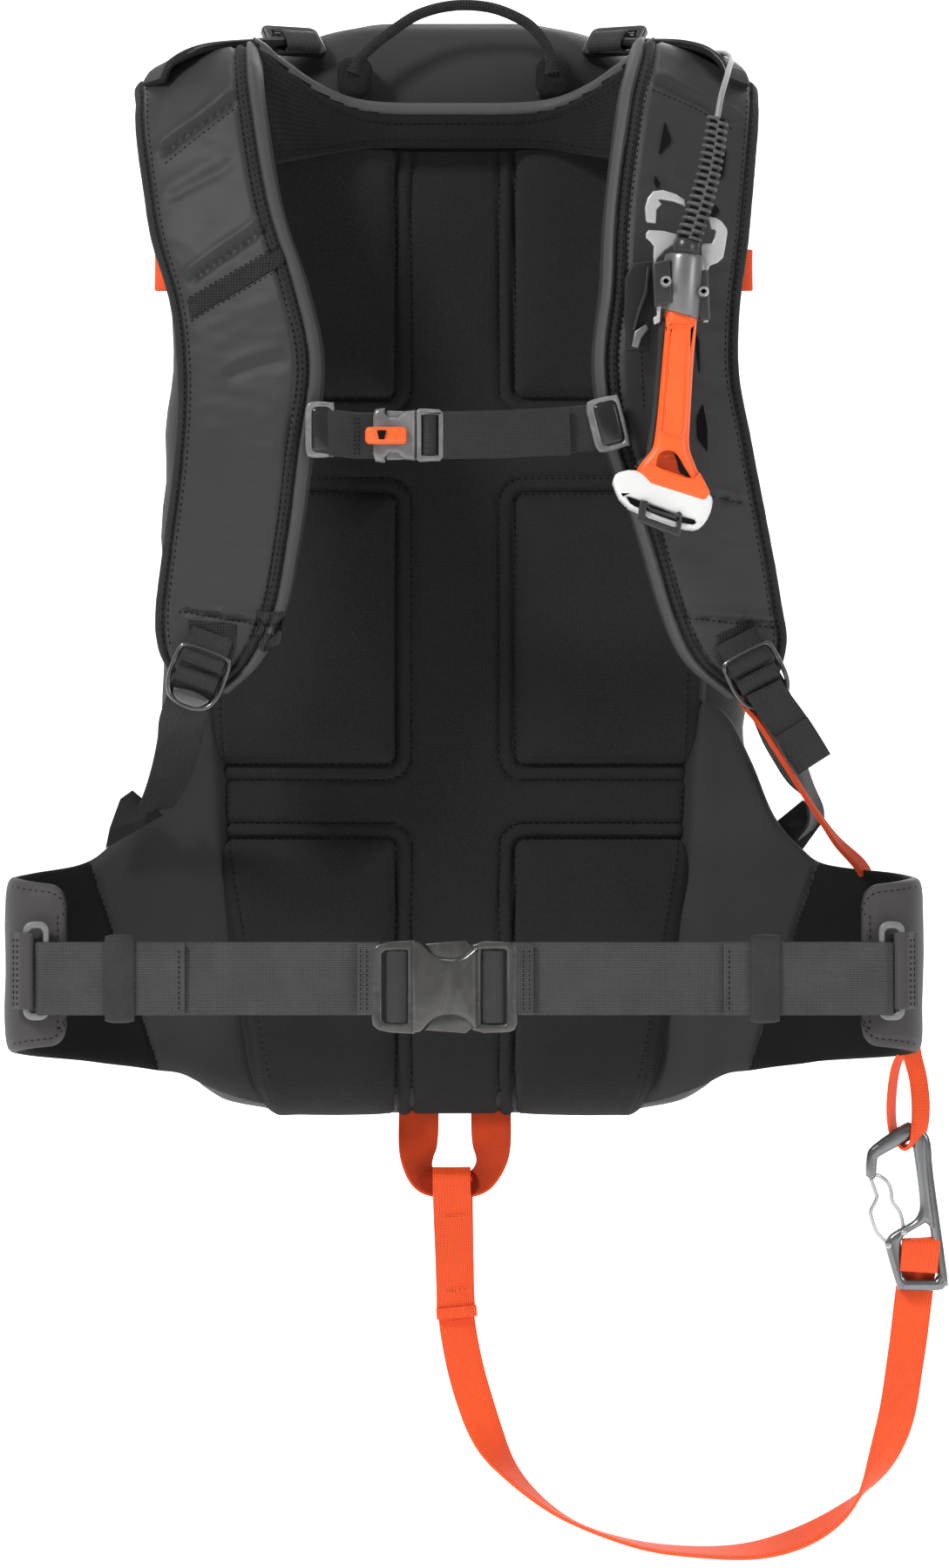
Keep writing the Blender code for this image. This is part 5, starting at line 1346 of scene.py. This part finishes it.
grip_rings = []
for z, w, d, x in spline(tenths([(-1735, 140, 140, 1172), (-1755, 166, 160, 1170), (-2000, 166, 172, 1150),
        (-2300, 176, 176, 1128), (-2430, 190, 180, 1117), (-2490, 236, 182, 1114), (-2560, 310, 184, 1116),
        (-2640, 372, 184, 1118), (-2690, 376, 182, 1118)]), 6):
    tilt = 0.3 * min(1.0, max(0.0, (-0.243 - z) / 0.014))
    grip_rings.append([(x + px, TY + py, z - tilt * px) for px,
        py in rounded(0, 0, w, d, min(0.005, w * 0.3), 6)])
loft("grip_body", grip_rings, "orange_plastic", "trigger_handle", ("handle_grip",), sharp=50)
panel_out = tenths([(1113, -1819), (1142, -1812), (1206, -1819), (1218, -1839), (1198, -2294),
    (1177, -2389), (1150, -2402), (1070, -2377), (1054, -2357), (1059, -2294), (1094, -1839)])
flat = [tuple(p) for p in spline([*panel_out, panel_out[0]], 3)[:-1]][::-1]
cushion_plate("grip_panel", flat, tenths([(0, -10), (0, 2), (5, 11), (11, 12), (16, 3), (22, -2)]),
    "orange_plastic", (0, TY - 0.0084, 0), body="trigger_handle")
upright("grip_back", tenths([(1062, -1789), (1081, -1769), (1065, -2160), (1017, -2496), (950, -2541),
    (928, -2537), (985, -2496), (1017, -2288)]), TY + 0.001, 0.015, "clamp", soft=0.0024,
    body="trigger_handle")
dish_out = tenths([(1056, -2477), (1086, -2460), (1134, -2466), (1158, -2501), (1190, -2562), (1212, -2593),
    (1166, -2584), (1102, -2562), (1040, -2536)])
# The dish takes the darker orange copy: painted shade in its hollow.
upright("grip_dish", dish_out, TY - 0.0088, 0.0022, "orange_shade", soft=0.0007, body="trigger_handle",
    smooth=2)
# A near-black plate in the dish: painted shadow.
upright("grip_dish_shade", tenths([(1129, -2473), (1154, -2492), (1180, -2540), (1215, -2597),
    (1176, -2584), (1157, -2565), (1146, -2517)]), TY - 0.0096, 0.0022, "void", soft=0.0006,
    body="trigger_handle", smooth=2)
upright("grip_lip", tenths([(957, -2552), (960, -2572), (1010, -2630), (1280, -2716), (1300, -2708),
    (1316, -2673), (1290, -2622), (1262, -2572), (1236, -2606), (1170, -2592), (1100, -2568), (1040, -2540),
    (1000, -2535)]), TY - 0.0072, 0.008, "orange_plastic", soft=0.0012, body="trigger_handle")
rim_slot = tenths([(886, -2696), (905, -2696), (966, -2719), (1157, -2792), (1237, -2814), (1246, -2830),
    (1230, -2840), (1141, -2824), (982, -2770), (912, -2738)])
upright("rim_frame", tenths([(819, -2622), (830, -2585), (867, -2566), (931, -2561), (1014, -2595),
    (1157, -2638), (1284, -2665), (1316, -2687), (1329, -2719), (1316, -2782), (1284, -2837), (1237, -2864),
    (1141, -2845), (998, -2792), (918, -2760), (854, -2706)]), TY, 0.0215, "white_plastic",
    holes=[rim_slot], soft=0.0017, stands_for=("handle_rim",), body="trigger_handle", smooth=2)
upright("rim_core", tenths([(876, -2672), (937, -2691), (1161, -2764), (1257, -2793), (1260, -2835),
    (1145, -2835), (969, -2771), (889, -2720)]), TY + 0.0025, 0.015, "black_matt", soft=0.001,
    body="trigger_handle")
upright("bail_frame", tenths([(956, -2716), (997, -2723), (1010, -2755), (1137, -2793), (1144, -2777),
    (1172, -2786), (1160, -2891), (1134, -2898), (969, -2834), (946, -2812)]), TY - 0.0122, 0.0034, "clamp",
    holes=[tenths([(991, -2751), (984, -2793), (1000, -2809), (1128, -2853), (1140, -2847), (1144, -2815),
    (1010, -2770)])], soft=0.001, body="trigger_bail", stands_for=("handle_bail",), smooth=2)


# ---------------------------------------- carabiner
CAR = (0.241, -0.04, -0.5967)
hook = tenths([(-219, -285), (-216, -192), (-183, -125), (-18, -10), (24, -4), (92, -45), (126, -110),
    (142, -291), (215, -818), (205, -870), (164, -895), (-18, -895), (-53, -870), (-112, -670),
    (-110, -630), (-76, -588), (25, -530), (56, -495), (68, -439), (58, -324), (26, -112), (-3, -108),
    (-141, -180), (-158, -210), (-166, -290), (-190, -305)])
window = tenths([(-33, -637), (-14, -600), (98, -535), (120, -554), (165, -815), (150, -838), (-2, -838),
    (-18, -818)])
plate("carabiner_frame", [tuple(p) for p in spline([*hook, hook[0]], 3)[:-1]], [window], 0.0092,
    "anthracite", CAR, soft=0.0025, stands_for=("carabiner_body",), res=4)
ridge = spline(tenths([(90, -100), (100, -260), (118, -420), (136, -560)]), 8)
tube("carabiner_ridge", [(CAR[0] + x, CAR[1] - 0.0038, CAR[2] + z) for x, z in ridge], 0.0014, "anthracite",
    10)
PIV = (0.2305, -0.04, -0.6557)
strands = [tenths([(6, -60), (-53, 3), (-80, 70), (-86, 118), (-56, 184), (-70, 240), (-86, 291)]),
    tenths([(-36, 300), (5, 266), (22, 220), (29, 168), (64, 118), (80, 70), (87, 10)])]
wire = [(x, -0.0012, z) for x, z in strands[0]] + [(-0.0066, 0.0, 0.0306)] + [(x, 0.0012, z) for x,
    z in strands[1]]
wire = even(spline(wire, 6), 90)
tube("gate_wire", [(PIV[0] + x, PIV[1] + y, PIV[2] + z) for x, y, z in wire], 0.0011, "steel", 12,
    body="gate", stands_for=("carabiner_gate",))
for k, (x, z) in enumerate(((0.0006, -0.0066), (0.0087, 0.0004))):
    tube("gate_pin_%d" % k, [(PIV[0] + x, PIV[1] + y, PIV[2] + z) for y in (-0.0056, -0.005, 0.005,
        0.0056)], [0.001, 0.0017, 0.0017, 0.001], "steel", 16, body="gate" if k == 0 else "pack")


# ---------------------------------------- leg strap and its anchor
ROUTE = tenths([(0, 300, -6310), (5, 295, -6700), (10, 280, -7060), (95, 240, -7470), (255, 190, -7840),
    (560, 110, -8120), (940, 10, -8260), (1310, -80, -8300), (1660, -170, -8270), (1970, -260, -8140),
    (2200, -340, -7920), (2340, -390, -7590), (2405, -385, -7230), (2445, -355, -6940), (2465, -340, -6790),
    (2482, -350, -6650), (2486, -385, -6590), (2484, -440, -6605), (2476, -462, -6680),
    (2470, -452, -6760)])
SIDE = [(1, 0.1, 0), (1, 0.1, 0), (1, 0.15, -0.1), (0.97, 0.1, -0.25), (0.8, 0.45, -0.45),
    (0.4, 0.85, -0.25), (0.1, 1.0, -0.05), (0, 1.0, 0.12), (-0.1, 1.0, 0.3), (0.2, 0.8, 0.55),
    (0.6, 0.55, 0.5), (0.9, 0.25, 0.25), (1, 0.1, 0.1), (1, 0, 0.05), (1, 0, 0.05), (1, 0, 0.05),
    (1, 0, 0.05), (1, 0, 0.05), (1, 0, 0.05), (1, 0, 0.05)]
leg_path = even(spline(ROUTE, 8), 170)
leg = ribbon("leg_web", ROUTE, 0.02, "orange", SIDE, 0.002, count=170, smooth=8, stands_for=("leg_strap",),
    wave=0.0002)
length_of(leg_path)
LOOP_FRONT = tenths([(-14, 190, -6290), (-14, 180, -6330), (-12, 182, -6440), (-2, 212, -6700),
    (6, 236, -6920), (12, 246, -7060)])
ribbon("leg_loop", [(0.0006, 0.0335, -0.705), (0.0002, 0.036, -0.67), (-0.001, 0.04, -0.64),
    (-0.0014, 0.038, -0.6295), (-0.0014, 0.0285, -0.6262), *LOOP_FRONT], 0.0207, "orange", (1, 0.1, 0),
    0.0018, count=100)
for k, (at, x) in enumerate(tenths([(-6512, -8), (-6918, 4), (-7015, 10)])):
    y = float(np.interp(-at, [-p[2] for p in LOOP_FRONT], [p[1] for p in LOOP_FRONT])) - 0.0011
    stitches("leg_tack_%d" % k, [[(x - 0.0092, y, at - 0.0011 * j),
        (x + 0.0092, y - 0.001, at + 0.0006 - 0.0011 * j)] for j in (0, 1)], "thread_orange", 0.002, 0.0015,
        0.0005)
ribbon("leg_loop_hem", tenths([(10, 232, -7010), (13, 232, -7040), (15, 236, -7068)]), 0.0222, "orange",
    (1, 0.1, 0.04), 0.0026, count=8)
anchor = tenths([(-194, 310, -5900), (-194, 302, -6000), (-197, 296, -6110), (-203, 292, -6195),
    (-190, 294, -6275), (-150, 298, -6328), (-85, 300, -6352), (0, 302, -6358), (85, 300, -6350),
    (145, 298, -6322), (186, 294, -6265), (205, 292, -6190), (202, 296, -6100), (200, 302, -6000),
    (200, 310, -5900)])
anchor_sides = [(1, 0, 0), (1, 0, 0), (1, 0.2, 0), (0.82, 0.57, 0.1), (0.55, 0.75, 0.35), (0.35, 0.8, 0.48),
    (0.12, 0.84, 0.52), (0, 0.85, 0.52), (-0.12, 0.84, 0.52), (-0.35, 0.8, 0.48), (-0.55, 0.75, 0.35),
    (-0.82, 0.57, 0.1), (-1, 0.2, 0), (-1, 0, 0), (-1, 0, 0)]
# The anchor webbing takes the darker orange copy: painted shade.
ribbon("anchor_web", anchor, 0.0218, "orange_shade", anchor_sides, 0.002, count=100,
    stands_for=("leg_strap_anchor",))

# ---------------------------------------- pieces inside the pack keep their CAD shape
INSIDE = {"frame_sheet": "sheet", "frame_stay": "steel", "airbag_folded": "orange",
    "blower_housing": "black_matt", "blower_motor": "steel", "blower_impeller": "white_plastic",
    "capacitor_pack": "black", "power_button": "orange_plastic"}
for key, mat in INSIDE.items():
    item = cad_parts[key]
    item.data.materials.clear()
    item.data.materials.append(M[mat])
    if key == "airbag_folded":
        item.modifiers.new("Soften", "SUBSURF").levels = 2
        item.modifiers["Soften"].render_levels = 2


# ---------------------------------------- floor
floor = bpy.data.meshes.new("studio_floor")
depth = [(-12.0, -0.862), (2.2, -0.862)]
depth += [(3.6 + 3.4 * math.sin(a), 2.538 - 3.4 * math.cos(a)) for a in np.linspace(0, math.pi / 2, 16)]
depth += [(7.0, 9.0)]
verts = [(x, y, z) for y, z in depth for x in (-12.0, 12.0)]
floor.from_pydata(verts, [], [(2 * k, 2 * k + 1, 2 * k + 3, 2 * k + 2) for k in range(len(depth) - 1)])
floor.materials.append(M["floor"])
floor.materials.append(M["wall"])
floor.polygons.foreach_set("material_index", [0] + [1] * (len(depth) - 2))
floor.shade_smooth()
floor_object = bpy.data.objects.new("studio_floor", floor)
scene.collection.objects.link(floor_object)
